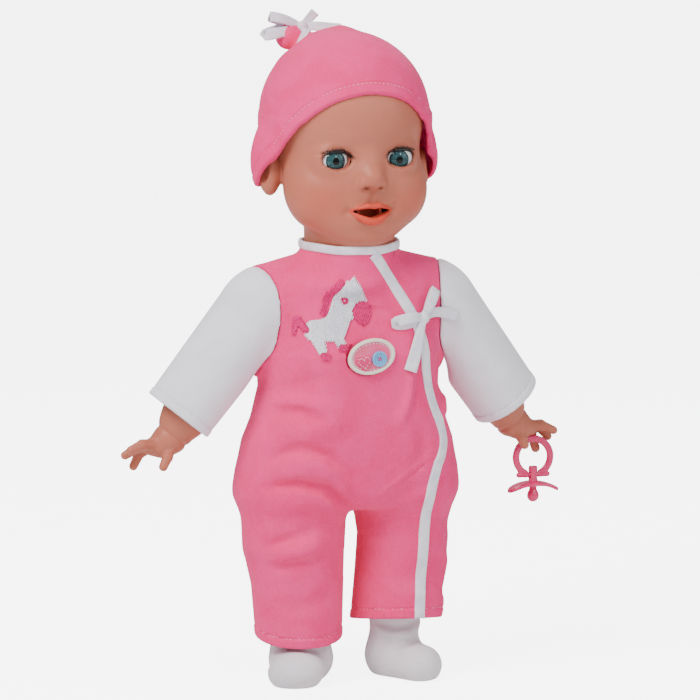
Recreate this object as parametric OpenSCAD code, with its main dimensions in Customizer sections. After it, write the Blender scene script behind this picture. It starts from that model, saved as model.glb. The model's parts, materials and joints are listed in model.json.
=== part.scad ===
// Soft-bodied baby doll with sleeping eyes, a sound module, clothes and a pacifier.
// Frame: +Z up, the doll faces -Y, the doll's left is +X, the soles stand on Z = 0.

/* [Head] */
// Radius of the back of the head
head_r = 46; // [44:0.5:46]
// Height of the head's centre above the soles
head_z = 325; // [324:0.5:327]
// Thickness of the vinyl
vinyl = 3; // [2.6:0.1:3.2]
// Radius of each eyeball
eye_r = 9.5; // [9:0.1:9.7]
// Distance of each eye from the middle of the face
eye_x = 19.6; // [19:0.1:20.5]

/* [Hat] */
// Backward tilt of the hat
hat_tilt = 30; // [28:1:32]
// Thickness of the plush cloth
plush = 2.2; // [1.8:0.1:2.4]

/* [Body] */
// Half-width of the body where the arms are sewn on
armhole_x = 54; // [53.5:0.1:54.5]
// Height of the shoulder joints
shoulder_z = 211.5; // [210:0.5:213]
// Height of the hip joints
hip_z = 112; // [111:0.5:113]
// Distance of each leg from the middle
leg_x = 30; // [29.6:0.1:30.5]

/* [Limbs] */
// Angle between each arm and straight up
arm_drop = 142.2; // [140:0.2:144]
// Angle that each arm points backwards
arm_back = 10.3; // [9:0.1:12]
// Radius of a sleeve
sleeve_r = 21; // [20:0.5:21.5]
// Outward turn of each foot
toe_out = 22; // [18:1:26]

/* [Sound module] */
// Width of the sound module's case
case_w = 54; // [50:1:56]
// Height of the sound module's case
case_h = 54; // [52:1:56]
// Travel of the sound button
press_travel = 3; // [2:0.5:3]

/* [Pacifier] */
// Outer radius of the pacifier's ring
ring_r = 12.6; // [12:0.1:12.8]
// Thickness of the ring
ring_t = 3; // [2.6:0.1:3.2]

/* [Hidden] */

// Shift that puts the origin under the middle of the whole doll's box.
shift_x = -0.4;
shift_y = -5.8;

fine = 48;          // $fn of round exact parts
soft = 28;          // $fn of the balls inside a hull
cloth = 1.6;        // thickness of the romper's cloth
gap = 0.4;          // clearance between nested layers
eps = 0.01;

skin = [0.82, 0.58, 0.48];
pink = [0.93, 0.45, 0.60];
deep_pink = [0.88, 0.25, 0.45];
white = [0.94, 0.93, 0.96];
black = [0.05, 0.05, 0.06];
steel = [0.70, 0.71, 0.73];
cream = [0.95, 0.93, 0.85];

shoulder = [armhole_x, 3, shoulder_z];
hip = [leg_x, 0, hip_z];
hem_z = 32;                       // height of the trouser hems
eye = [eye_x, -24.4, 304];
mouth = [0, -30, 274];
head_y = 7;                       // how far the head's centre sits behind the neck
neck_r = 26;
neck_z = 246;                     // foot of the head's neck
badge = [0, -37.2, 192];          // middle of the badge's back face
ring_y = 12;                      // plane of the pacifier's ring
ring_c = [118, ring_y, 121.7];    // centre of the ring

// ---------- helpers ----------

// Puts a left-hand shape on the right as well when side is -1.
module sided(side) {
    if (side < 0) mirror([1, 0, 0]) children();
    else children();
}

// A ball at p, for use inside a hull.
module ball(p, r) {
    translate(p) sphere(r = r, $fn = soft);
}

// A cylinder along Y, from y = 0 to y = length.
module along_y(r, length) {
    rotate([-90, 0, 0]) cylinder(r = r, h = length, $fn = fine);
}

// A cylinder along X, centred.
module along_x(r, length) {
    rotate([0, 90, 0]) cylinder(r = r, h = length, center = true, $fn = fine);
}

// A coil spring along +Z: a six-sided wire swept up a helix.
module coil(r, wire, length, turns) {
    sides = 6;
    per_turn = 10;
    rings = turns * per_turn;
    points = [for (i = [0 : rings], k = [0 : sides - 1])
        let (a = 360 * i / per_turn, b = 360 * k / sides, d = r + wire * cos(b))
        [d * cos(a), d * sin(a), wire + (length - 2 * wire) * i / rings + wire * sin(b)]];
    walls = [for (i = [0 : rings - 1], k = [0 : sides - 1])
        let (n = (k + 1) % sides)
        [i * sides + k, (i + 1) * sides + k, (i + 1) * sides + n, i * sides + n]];
    first = [for (k = [0 : sides - 1]) k];
    last = [for (k = [sides - 1 : -1 : 0]) rings * sides + k];
    polyhedron(points, concat([first], walls, [last]), convexity = 6);
}

// ---------- body and romper ----------

// The body's outline, grown by g all round.
module trunk(g) {
    hull() for (s = [-1, 1]) {
        ball([s * 27, 0, 216], 26 + g);
        ball([s * 18, -2, 185], 36 + g);
        ball([s * 25, -2, 145], 38 + g);
        ball([s * 29, 3, 124], 36 + g);
    }
}

// Room that the arms, the legs and the neck need around the trunk.
module limb_room() {
    for (s = [-1, 1]) {
        sided(s) translate([armhole_x - 0.3, shoulder[1], shoulder_z]) rotate([0, 90, 0])
            cylinder(r1 = 38, r2 = 78, h = 26, $fn = fine);
        sided(s) translate(hip) sphere(r = 29.6, $fn = fine);
    }
    translate([-90, -90, 60]) cube([180, 90, hip_z + 30.6 - 60]);
    translate([-90, 0, 60]) cube([180, 90, hip_z + 10 - 60]);
    translate([-90, -90, 243]) cube([180, 180, 40]);
}

// The oval of the badge as a solid along Y, grown by g, from y0 to y1.
module badge_oval(g, y0, y1) {
    translate([badge[0], y0, badge[2]]) rotate([-90, 0, 0])
        linear_extrude(y1 - y0) scale([1.4, 1]) circle(r = 10.3 + g, $fn = fine);
}

module torso() {
    color(cream) difference() {
        trunk(-cloth - gap);
        limb_room();
        // sides at the armholes
        for (s = [-1, 1]) sided(s) translate([armhole_x - 2.3, -60, 170]) cube([20, 120, 90]);
        // pocket of the sound module, open at the back
        translate([-case_w / 2 - 1, -11, 184 - case_h / 2 - 1]) cube([case_w + 2, 60, case_h + 2]);
        // room for the badge and its button's rod
        badge_oval(1.2, -60, -31);
        translate([badge[0], -40, badge[2]]) along_y(9, 40);
        // wire to the neck
        translate([0, 3, 205]) cylinder(r = 3, h = 60, $fn = fine);
        // seat of the neck plug
        translate([0, 0, 236]) cylinder(r = 19, h = 20, $fn = fine);
    }
}

module pocket_flap() {
    color(cream) intersection() {
        translate([-case_w / 2 - 0.6, 17, 184 - case_h / 2 - 0.6])
            cube([case_w + 1.2, 40, case_h + 1.2]);
        trunk(-cloth - gap);
    }
}

module romper_body() {
    color(pink) difference() {
        trunk(0);
        trunk(-cloth);
        limb_room();
        badge_oval(0.6, -60, -20);
        translate([0, 0, 230]) cylinder(r = 29.7, h = 30, $fn = fine);
    }
}

module neck_binding() {
    color(white) translate([0, 0, 243.2]) rotate_extrude($fn = fine) hull() {
        translate([28, 0.5]) circle(r = 1.2, $fn = 16);
        translate([28, 8.5]) circle(r = 1.2, $fn = 16);
    }
}

// A band lying on the trunk's front, cut to the outline that the children give in X and Z.
module front_band(lift, thick) {
    difference() {
        intersection() {
            trunk(lift + thick);
            rotate([90, 0, 0]) translate([0, 0, 10]) linear_extrude(60) children();
        }
        trunk(lift);
        limb_room();
    }
}

module front_binding() {
    line = [[20, 242], [30, 226], [36, 211], [42, 196], [40, 182], [45, 160], [47, 142]];
    color(white) front_band(0.3, 1.3)
        for (i = [0 : len(line) - 2]) hull() {
            translate(line[i]) circle(r = 3.6, $fn = 12);
            translate(line[i + 1]) circle(r = 3.6, $fn = 12);
        }
}

module romper_bow() {
    knot = [36, -36.4, 211];
    tails = [[60, 18], [-6, 12], [184, 17], [250, 24]];     // direction and length of each end
    color(white) difference() {
        union() {
            ball(knot, 3.6);
            for (t = tails) translate(knot) rotate([0, -t[0], 0]) hull() {
                translate([2, 0, 0]) sphere(r = 1.3, $fn = 12);
                for (s = [-1, 1]) translate([t[1], 0, 2.8 * s]) sphere(r = 1.4, $fn = 12);
            }
        }
        trunk(0.2);
    }
}

// A plain hobby-horse outline, seen from the front of the doll.
module pony_outline() {
    hull() {
        translate([-31, 206]) circle(r = 5, $fn = 16);
        translate([-18, 208]) circle(r = 6, $fn = 16);
    }
    hull() {
        translate([-18, 208]) circle(r = 6, $fn = 16);
        translate([-11, 222]) circle(r = 6, $fn = 16);
    }
    for (x = [-32, -17]) translate([x - 2, 193]) square([4.4, 12]);
}

module embroidery() {
    color(white) front_band(0.3, 0.7) pony_outline();
}

// ---------- neck ----------

module neck_plug() {
    color("gainsboro") difference() {
        union() {
            translate([0, 0, 236.3]) cylinder(r = 16.5, h = 14, $fn = fine);
            translate([0, 0, 249.6]) cylinder(r = 20.5, h = 2.6, $fn = fine);
        }
        translate([0, 3, 230]) cylinder(r = 2.6, h = 30, $fn = fine);
        translate([0, 0, 240]) rotate_extrude($fn = fine) translate([15.2, 0]) square([6, 3]);
    }
}

module neck_tie() {
    color(white) translate([0, 0, 240.4]) difference() {
        cylinder(r = 17.6, h = 2.2, $fn = fine);
        translate([0, 0, -1]) cylinder(r = 15.5, h = 6, $fn = fine);
    }
}

// ---------- sound module ----------

case_y0 = -10;      // front of the case
case_y1 = 2;        // where the two halves meet
case_y2 = 14;       // back of the case
case_z = 184;       // height of the case's middle
case_wall = 1.8;

module case_block(y0, y1, inset) {
    translate([-case_w / 2 + inset, y0, case_z - case_h / 2 + inset])
        cube([case_w - 2 * inset, y1 - y0, case_h - 2 * inset]);
}

// Where the case's four screws are, in X and Z.
function screw_places() = [for (x = [-1, 1], z = [-1, 1])
    [x * (case_w / 2 - 4.5), case_z + z * (case_h / 2 - 4.5)]];

module module_front_case() {
    color("whitesmoke") difference() {
        union() {
            difference() {
                case_block(case_y0, case_y1, 0);
                case_block(case_y0 + case_wall, case_y1 + 1, case_wall);
            }
            for (p = screw_places()) translate([p[0], case_y0 + 1, p[1]]) along_y(3, case_y1 - case_y0 - 1);
        }
        for (p = screw_places()) translate([p[0], case_y1 - 8, p[1]]) along_y(1.05, 10);
        translate([badge[0], case_y0 - 1, badge[2]]) along_y(6.6, 6);
        // speaker holes
        for (r = [0 : 1], a = [0 : 60 : 359])
            translate([(3 + 4 * r) * cos(a), case_y0 - 1, 171 + (3 + 4 * r) * sin(a)])
                along_y(0.9, 6);
    }
}

module module_back_case() {
    color("whitesmoke") difference() {
        union() {
            difference() {
                case_block(case_y1 + 0.02, case_y2, 0);
                case_block(case_y1 - 1, case_y2 - case_wall, case_wall);
            }
            for (p = screw_places()) translate([p[0], case_y1 + 0.02, p[1]]) along_y(3, case_y2 - case_y1 - 1);
            // floor of the battery bay
            translate([-26, 3.4, 158.6]) cube([52, 1.2, 39.4]);
            // boss of the battery door's screw
            translate([0, 4, 194.5]) along_y(3, 8);
        }
        for (p = screw_places()) {
            translate([p[0], case_y1 - 1, p[1]]) along_y(1.3, 20);
            translate([p[0], case_y2 - 3, p[1]]) along_y(2.4, 5);
        }
        translate([0, 3, 194.5]) along_y(1.05, 12);
        // battery door's opening
        translate([-20.3, case_y2 - 2.5, 162]) cube([40.6, 5, 36.3]);
        // power slider's slot
        translate([-18, case_y2 - 3, 201.4]) cube([12, 5, 3.4]);
    }
}

module battery_door() {
    color("gainsboro") difference() {
        union() {
            translate([-20, case_y2 - 1.7, 162.3]) cube([40, 1.7, 35.7]);
            for (i = [-2 : 2]) translate([-15, case_y2, 176 + 2 * i]) cube([30, 0.5, 0.8]);
        }
        translate([0, case_y2 - 3, 194.5]) along_y(1.3, 6);
    }
}

module screw(y_head, length, r_head) {
    translate([0, y_head - length, 0]) along_y(0.95, length);
    difference() {
        translate([0, y_head, 0]) along_y(r_head, 1.2);
        translate([-1.6, y_head + 0.7, -0.3]) cube([3.2, 2, 0.6]);
        translate([-0.3, y_head + 0.7, -1.6]) cube([0.6, 2, 3.2]);
    }
}

module module_screws() {
    color(steel) {
        for (p = screw_places()) translate([p[0], 0, p[1]]) screw(case_y2 - 2.9, 14, 2.2);
        translate([0, 0, 194.5]) screw(case_y2 + 0.05, 8, 2.2);
    }
}

module batteries() {
    color("silver") for (x = [-13.5, 0, 13.5]) {
        translate([x, 5.4, 176]) along_y(4.6, 0.6);
        translate([x, 6, 176]) along_y(5.8, 4.8);
    }
}

module battery_contacts() {
    color(steel) {
        for (x = [-13.5, 0, 13.5]) translate([x - 3, 4.7, 173]) cube([6, 0.6, 6]);
        translate([-17, 11, 174]) cube([34, 0.5, 4]);
    }
}

module circuit_board() {
    color("seagreen") {
        difference() {
            translate([-20, 0.4, 185]) cube([40, 1.4, 18]);
            for (x = [-16, 16]) translate([x, -1, 188]) along_y(1.2, 4);
        }
        translate([8, -1.6, 190]) cube([6, 2, 6]);
        for (z = [193, 197, 201]) translate([-14, -0.6, z]) cube([3, 1, 1.6]);
    }
}

module speaker() {
    color("dimgray") translate([0, -7.9, 171]) rotate([-90, 0, 0]) difference() {
        union() {
            cylinder(r = 10.5, h = 2, $fn = fine);
            translate([0, 0, 2]) cylinder(r1 = 9.5, r2 = 6, h = 2.4, $fn = fine);
            translate([0, 0, 4.4]) cylinder(r = 5, h = 2.6, $fn = fine);
        }
        translate([0, 0, -0.1]) cylinder(r1 = 8.5, r2 = 3, h = 1.6, $fn = fine);
    }
}

module tact_switch() {
    color(black) translate([badge[0], -1.9, badge[2]]) {
        translate([-3, 0, -3]) cube([6, 2.2, 6]);
        translate([0, -0.6, 0]) along_y(1.6, 1);
    }
}

module button_spring() {
    color(steel) translate([badge[0], 0.3, badge[2]]) rotate([90, 0, 0]) coil(4.9, 0.35, 6.5, 4);
}

module push_cap() {
    color(deep_pink) translate([badge[0], 0, badge[2]]) {
        translate([0, badge[1] + 0.2, 0]) along_y(6, case_y0 + case_wall + 0.4 - badge[1]);
        translate([0, case_y0 + case_wall + 0.3, 0]) along_y(7.6, 1.6);
        translate([0, case_y0 + 3, 0]) along_y(1.6, 1.4);
    }
}

module power_slider() {
    color(black) {
        translate([-17.6, case_y2 - 4.2, 200.6]) cube([7.6, 1.6, 5]);
        translate([-15.6, case_y2 - 3, 201.7]) cube([3.4, 4, 2.8]);
    }
}

module signal_wire() {
    color("firebrick") translate([0, 3, 207.5]) {
        translate([0, 0, 4.5]) cylinder(r = 0.9, h = 44, $fn = 24);
        translate([-2, -1.5, 48.4]) cube([4, 3, 6]);
    }
}

// ---------- badge ----------

module badge_plate() {
    color(cream) difference() {
        badge_oval(0, badge[1] - 1.8, badge[1] + 0.2);
        badge_oval(-1.6, badge[1] - 2.8, badge[1] - 1.3);
    }
}

module badge_heart() {
    color(deep_pink) translate([-4.6, badge[1] - 1.4, badge[2] - 3.4]) rotate([90, 0, 0])
        linear_extrude(1.2) {
            for (s = [-1, 1]) hull() {
                translate([s * 1.7, 1]) circle(r = 2, $fn = 24);
                translate([0, -2.6]) circle(r = 0.4, $fn = 12);
            }
        }
}

module badge_button() {
    color("deepskyblue") translate([4.6, badge[1] - 1.4, badge[2] - 3]) rotate([90, 0, 0])
        difference() {
            cylinder(r = 3.9, h = 1.6, $fn = fine);
            translate([0, 0, 0.9]) cylinder(r = 2.8, h = 2, $fn = fine);
            for (x = [-0.9, 0.9], y = [-0.9, 0.9])
                translate([x, y, -1]) cylinder(r = 0.45, h = 4, $fn = 16);
        }
}

// ---------- head ----------

// The head's outline, shrunk by t all round.
module head_form(t) {
    hull() {
        translate([0, head_y, head_z]) sphere(r = head_r - t, $fn = 40);
        for (s = [-1, 1]) {
            ball([s * 15, -7, 311], 29 - t);
            ball([s * 17.5, -7, 285], 27.5 - t);
        }
        ball([0, -20, 274], 15.5 - t);
        ball([0, 9, 276], 25 - t);
    }
}

// One ear on the left side.
module ear() {
    translate([45.6, 8, 300]) rotate([8, 0, -12]) difference() {
        hull() {
            ball([0, 0, 5], 4.6);
            ball([0, -1, -6], 3.2);
        }
        translate([4.4, -0.5, 1]) sphere(r = 2.8, $fn = 24);
    }
}

// The outline of one eye's opening, as a solid along Y.
module eye_opening() {
    translate([eye_x, -60, eye[2]]) rotate([-90, 0, 0]) hull()
        for (x = [-3.4, 3.4]) translate([x, 0, 0]) cylinder(r = 5, h = 36, $fn = 24);
}

module head_shell() {
    color(skin) difference() {
        union() {
            head_form(0);
            translate([0, 0, neck_z]) cylinder(r = neck_r, h = 24, $fn = fine);
            translate([0, -39.5, 294]) sphere(r = 4.6, $fn = 32);
            for (s = [-1, 1]) sided(s) ear();
        }
        head_form(vinyl);
        // neck: a lip at the foot, wide above it
        translate([0, 0, neck_z - 1]) cylinder(r = 17.2, h = 6, $fn = fine);
        translate([0, 0, neck_z + 3]) cylinder(r = neck_r - vinyl, h = 26, $fn = fine);
        for (s = [-1, 1]) {
            sided(s) eye_opening();
            sided(s) translate(eye) sphere(r = eye_r + 0.35, $fn = fine);
        }
        // mouth
        translate([0, -60, mouth[2]]) along_y(7.6, 36);
    }
}

// The cup behind the lips that the pacifier's teat goes into.
module mouth_pocket() {
    color("firebrick") translate([0, mouth[1] - 3.6, mouth[2]]) difference() {
        along_y(7.4, 19);
        translate([0, -1, 0]) along_y(6.1, 18);
        along_y(3.4, 30);
    }
}

module mouth_plunger() {
    color("gainsboro") translate([0, mouth[1] + 4, mouth[2]]) {
        along_y(5.6, 1.6);
        along_y(3, 14);
    }
}

module plunger_spring() {
    color(steel) translate([0, mouth[1] + 5.65, mouth[2]]) rotate([-90, 0, 0]) coil(4, 0.35, 7.7, 4);
}

module mouth_switch() {
    color(black) translate([-7, mouth[1] + 19.8, mouth[2] - 6]) difference() {
        cube([14, 9, 12]);
        translate([7, -1, 6]) along_y(3.5, 7);
    }
}

module eye_case(side) {
    color("gainsboro") sided(side) translate(eye) difference() {
        translate([0, -2.5, 0]) along_y(10.5, 5.5);
        sphere(r = eye_r + 0.35, $fn = fine);
        along_x(1.3, 40);
    }
}

module eyeball(side) {
    color("ghostwhite") sided(side) translate(eye) {
        sphere(r = eye_r, $fn = fine);
        along_x(1.2, 2 * eye_r + 2.6);
    }
}

// A fringe standing out of the lid's edge.
module eyelash(side) {
    color(black) sided(side) translate(eye) rotate([-24, 0, 0]) difference() {
        intersection() {
            translate([0, 0, -0.25]) cylinder(r = eye_r + 1.7, h = 0.5, $fn = fine);
            translate([-4.5, -22, -1]) cube([9, 20, 3]);
        }
        sphere(r = eye_r + 0.02, $fn = fine);
    }
}

module eye_weight(side) {
    color(steel) sided(side) translate(eye) rotate([-148, 0, 0]) {
        translate([0, 0, eye_r + 0.05]) cylinder(r = 1.6, h = 5, $fn = fine);
        translate([0, 0, eye_r + 5.05]) cylinder(r = 4.2, h = 5.6, $fn = fine);
    }
}

// ---------- hat ----------

// Puts children at the head's centre with +Z along the hat's own axis.
module on_hat() {
    translate([0, head_y, head_z]) rotate([-hat_tilt, 0, 0]) children();
}

hat_in = head_r + 1;
hat_skirt = 40;                   // how far the hat reaches below the head's centre, along its axis
hem_low = 286;                    // height of the hem behind the ears
ear_place = [45, 13, -20];        // middle of an ear, on the hat's axes

// Room for one ear, open all the way down so that the hat can be lifted off.
module ear_room(r) {
    hull() {
        ball(ear_place, r);
        ball(ear_place - [0, 0, 40], r);
    }
}

// A hat-shaped solid of radius r, with bulges of radius r_ear over the ears.
module hat_form(r, r_ear) {
    sphere(r = r, $fn = fine);
    hull() {
        translate([0, 0, -hat_skirt]) cylinder(r = r, h = hat_skirt, $fn = 36);
        translate([0, 7, -hat_skirt]) cylinder(r = r, h = 1, $fn = 36);
    }
    for (s = [-1, 1]) sided(s) ear_room(r_ear);
}

module hat_crown() {
    color(pink) difference() {
        on_hat() hat_form(hat_in + plush, 11);
        on_hat() hat_form(hat_in, 8.8);
        // the hem: level behind the ears, rising steeply to the forehead
        translate([-90, -90, hem_low - 90]) cube([180, 180, 90]);
        translate([0, 0, 296.8]) rotate([-50.2, 0, 0]) translate([-90, -120, -90]) cube([180, 240, 90]);
    }
}

knot = [-11, 4, 48];     // foot of the topknot, on the hat's axes

module hat_topknot() {
    color(pink) on_hat() difference() {
        hull() {
            ball(knot, 7);
            ball(knot + [-9, 2, 5], 6);
        }
        sphere(r = hat_in + plush + 0.2, $fn = fine);
        // slot that the ribbon is tied in
        translate([0, 0.3, 0]) ribbon(3.6) offset(0.3) ribbon_outline();
    }
}

// Loops and tails of the ribbon: direction, length and width of each.
ribbon_ends = [[164, 17, 6], [206, 17, 6], [32, 20, 4], [2, 21, 4]];

module ribbon_outline() {
    circle(r = 3.6, $fn = fine);
    for (e = ribbon_ends) rotate(e[0]) translate([0, -e[2] / 2]) square([e[1], e[2]]);
}

// Puts an outline at the top of the topknot and gives it a thickness.
module ribbon(thick) {
    translate(knot + [-7, 0.5, 10.8]) rotate([90, 0, 0]) linear_extrude(thick) children();
}

module hat_bow() {
    color(white) on_hat() ribbon(3) ribbon_outline();
}

// ---------- arms ----------

// Puts children at the shoulder with +Z running down the left arm.
module on_arm() {
    translate(shoulder) rotate([0, arm_drop, arm_back]) children();
}

// Everything beyond the armhole's plane, set out by g.
module beyond_armhole(g) {
    translate([armhole_x + g, -80, 60]) cube([120, 160, 240]);
}

sleeve_end = 73;

module sleeve(side) {
    color(white) sided(side) intersection() {
        on_arm() difference() {
            translate([0, 0, -34]) cylinder(r = sleeve_r, h = sleeve_end + 34, $fn = fine);
            translate([0, 0, -32]) cylinder(r = sleeve_r - cloth, h = sleeve_end + 34, $fn = fine);
        }
        beyond_armhole(0.3);
    }
}

module upper_arm(side) {
    color(cream) sided(side) intersection() {
        on_arm() {
            translate([0, 0, -14]) cylinder(r = 14, h = 58, $fn = fine);
            translate([0, 0, 44]) cylinder(r1 = 14, r2 = 12.5, h = 8, $fn = fine);
        }
        beyond_armhole(0.3);
    }
}

// One left hand and forearm. The grip's slot takes the pacifier's ring.
module hand(side) {
    color(skin) sided(side) difference() {
        union() {
            on_arm() translate([0, 0, 52.3]) cylinder(r1 = 12.6, r2 = 14, h = 14, $fn = fine);
            on_arm() translate([0, 0, 66.2]) cylinder(r1 = 14, r2 = 9, h = 20, $fn = fine);
            hull() {
                ball([103, 11.4, 143], 8.4);
                ball([109, 12, 139.5], 7.4);
                ball([115, 12, 138.5], 5);
            }
            hull() {
                ball([115, 12, 139.6], 3.8);
                ball([130, 10.6, 136.8], 2.4);
            }
            hull() {
                ball([106, 6.6, 137], 3.4);
                ball([110.4, 6.4, 130], 2.7);
            }
            hull() {
                ball([114, 17.4, 137], 3.3);
                ball([121, 17.2, 125.4], 2.7);
            }
        }
        translate([99.5, ring_y - ring_t / 2 - 0.5, 90])
            cube([36, ring_t + 1, ring_c[2] + ring_r + 0.4 - 90]);
    }
}

// ---------- legs ----------

module pant_form(g) {
    hull() {
        translate(hip) sphere(r = 27.5 + g, $fn = 36);
        translate([leg_x - 0.5, 2, hem_z]) cylinder(r = 24.5 + g, h = 1, $fn = 36);
    }
}

module pant_leg(side) {
    color(pink) sided(side) difference() {
        pant_form(0);
        pant_form(-cloth);
        translate([leg_x - 0.5, 2, hem_z - 1]) cylinder(r = 24.5 - cloth, h = 3, $fn = 36);
    }
}

module leg_binding_left() {
    color(white) difference() {
        intersection() {
            pant_form(1.5);
            hull() {
                translate([42, -50, 118]) cube([7, 40, 1]);
                translate([37, -50, hem_z]) cube([7, 40, 1]);
            }
        }
        pant_form(0.3);
    }
}

module thigh(side) {
    color(cream) sided(side) {
        translate(hip) sphere(r = 17, $fn = fine);
        translate([leg_x, 0, 64]) cylinder(r = 17, h = hip_z - 64, $fn = fine);
    }
}

// The outline of a socked foot, shrunk by t, cut flat at floor_z.
module sock_form(t, floor_z) {
    intersection() {
        hull() {
            translate([leg_x - 3, 6, 0]) rotate([0, 0, toe_out]) {
                ball([0, 0, 10.5], 12.6 - t);
                ball([-2, -27, 8.5], 11.4 - t);
                ball([3, -26, 8.5], 10.4 - t);
            }
            translate([leg_x - 1, 2.5, 38]) cylinder(r = 15.4 - t, h = 1, $fn = 36);
        }
        translate([-20, -60, floor_z]) cube([120, 120, 60]);
    }
}

module shin(side) {
    color(skin) sided(side) {
        sock_form(2, 1.6);
        translate([leg_x - 1, 2.5, 30]) cylinder(r1 = 12.4, r2 = 15, h = 33.7, $fn = 36);
    }
}

module sock(side) {
    color(white) sided(side) difference() {
        sock_form(0, 0);
        sock_form(1.6, 1.2);
        translate([leg_x - 1, 2.5, 36]) cylinder(r = 14, h = 6, $fn = 36);
    }
}

// ---------- pacifier ----------

bar_z = ring_c[2] - ring_r + 2.2;     // height of the ring's straight bar, the hinge's axis

module pacifier_ring() {
    color(deep_pink) translate(ring_c) {
        difference() {
            rotate([90, 0, 0]) cylinder(r = ring_r, h = ring_t, center = true, $fn = fine);
            translate([0, 0, -0.6]) rotate([90, 0, 0]) cylinder(r = ring_r - 4, h = 10, center = true, $fn = fine);
            translate([-20, -10, -30]) cube([40, 20, 30 + bar_z - ring_c[2]]);
            // room for the shield's post
            translate([-3.4, -10, bar_z - ring_c[2] - 4]) cube([6.8, 20, 7]);
        }
        translate([0, 0, bar_z - ring_c[2]]) along_x(1.5, 17);
    }
}

module pacifier_shield() {
    color(deep_pink) translate([ring_c[0], ring_y, 0]) difference() {
        union() {
            // dished shield: a slice of a thin ball
            intersection() {
                translate([0, 0, bar_z - 3.6 - 28]) difference() {
                    sphere(r = 28, $fn = 72);
                    sphere(r = 26.2, $fn = 72);
                }
                translate([0, 0, bar_z - 20]) hull() for (x = [-9, 9])
                    translate([x, 0, 0]) cylinder(r = 6.2, h = 20, $fn = 32);
            }
            // post with the bar's eye
            translate([0, 0, bar_z - 4.4]) cylinder(r = 2.6, h = 10, $fn = fine);
        }
        translate([0, 0, bar_z]) along_x(1.6, 30);
    }
}

module pacifier_teat() {
    color(deep_pink) translate([ring_c[0], ring_y, bar_z - 5.45]) {
        translate([0, 0, -4]) cylinder(r = 2.2, h = 4, $fn = fine);
        translate([0, 0, -6.8]) sphere(r = 3.4, $fn = fine);
    }
}

// ---------- assembly ----------

module at(name) {
    translate([shift_x, shift_y, 0]) children();
}

at("torso") torso();
at("pocket_flap") pocket_flap();
at("neck_plug") neck_plug();
at("neck_tie") neck_tie();
at("romper_body") romper_body();
at("neck_binding") neck_binding();
at("front_binding") front_binding();
at("romper_bow") romper_bow();
at("embroidery") embroidery();
at("module_front_case") module_front_case();
at("module_back_case") module_back_case();
at("battery_door") battery_door();
at("module_screws") module_screws();
at("batteries") batteries();
at("battery_contacts") battery_contacts();
at("circuit_board") circuit_board();
at("speaker") speaker();
at("tact_switch") tact_switch();
at("button_spring") button_spring();
at("signal_wire") signal_wire();
at("head_shell") head_shell();
at("mouth_pocket") mouth_pocket();
at("eye_case_right") eye_case(-1);
at("eye_case_left") eye_case(1);
at("mouth_switch") mouth_switch();
at("plunger_spring") plunger_spring();
at("mouth_plunger") mouth_plunger();
at("eyeball_right") eyeball(-1);
at("eyelash_right") eyelash(-1);
at("eye_weight_right") eye_weight(-1);
at("eyeball_left") eyeball(1);
at("eyelash_left") eyelash(1);
at("eye_weight_left") eye_weight(1);
at("hat_crown") hat_crown();
at("hat_topknot") hat_topknot();
at("hat_bow") hat_bow();
at("badge_plate") badge_plate();
at("badge_heart") badge_heart();
at("badge_button") badge_button();
at("push_cap") push_cap();
at("power_slider") power_slider();
at("hand_right") hand(-1);
at("upper_arm_right") upper_arm(-1);
at("sleeve_right") sleeve(-1);
at("hand_left") hand(1);
at("upper_arm_left") upper_arm(1);
at("sleeve_left") sleeve(1);
at("shin_right") shin(-1);
at("thigh_right") thigh(-1);
at("pant_leg_right") pant_leg(-1);
at("sock_right") sock(-1);
at("shin_left") shin(1);
at("thigh_left") thigh(1);
at("pant_leg_left") pant_leg(1);
at("sock_left") sock(1);
at("leg_binding_left") leg_binding_left();
at("pacifier_ring") pacifier_ring();
at("pacifier_shield") pacifier_shield();
at("pacifier_teat") pacifier_teat();
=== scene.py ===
# %% [markdown]
# # A baby doll with sleeping eyes, in cells
#
# The moving frame of this doll comes packed: bodies, joints and plain solids. This lesson dresses it.
# Vinyl parts and clothes are sculpted as distance fields and then meshed, threads and stitches are
# planted by Geometry Nodes, and every surface gets a procedural finish.

# %% Load the frame and find the doll's own axis
import json
import math

import bmesh
import bpy
import numpy as np
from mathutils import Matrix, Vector


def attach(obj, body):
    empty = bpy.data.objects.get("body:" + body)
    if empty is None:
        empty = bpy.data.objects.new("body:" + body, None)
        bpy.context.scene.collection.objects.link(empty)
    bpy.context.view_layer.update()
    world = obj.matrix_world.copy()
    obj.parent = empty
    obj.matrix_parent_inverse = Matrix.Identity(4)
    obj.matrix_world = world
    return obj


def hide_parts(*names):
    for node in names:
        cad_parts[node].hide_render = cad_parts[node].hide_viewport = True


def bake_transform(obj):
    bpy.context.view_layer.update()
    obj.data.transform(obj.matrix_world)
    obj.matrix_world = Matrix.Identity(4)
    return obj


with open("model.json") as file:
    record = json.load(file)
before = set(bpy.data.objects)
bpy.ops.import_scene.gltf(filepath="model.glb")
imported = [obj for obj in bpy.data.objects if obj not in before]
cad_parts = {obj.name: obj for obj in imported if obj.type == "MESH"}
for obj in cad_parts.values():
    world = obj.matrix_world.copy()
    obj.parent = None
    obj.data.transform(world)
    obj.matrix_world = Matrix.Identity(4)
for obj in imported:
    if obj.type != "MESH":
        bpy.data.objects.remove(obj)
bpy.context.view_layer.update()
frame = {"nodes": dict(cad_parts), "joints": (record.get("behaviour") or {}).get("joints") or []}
joints = {j["name"]: j for j in frame["joints"]}
neck_axis = np.array(joints["neck_turn"]["pos_m"]) * [1, 1, 0]


def place(points):
    """The doll's own millimetres, measured from the neck's axis and the floor, to metres in the frame."""
    return np.asarray(points, float) * 0.001 + neck_axis


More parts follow.
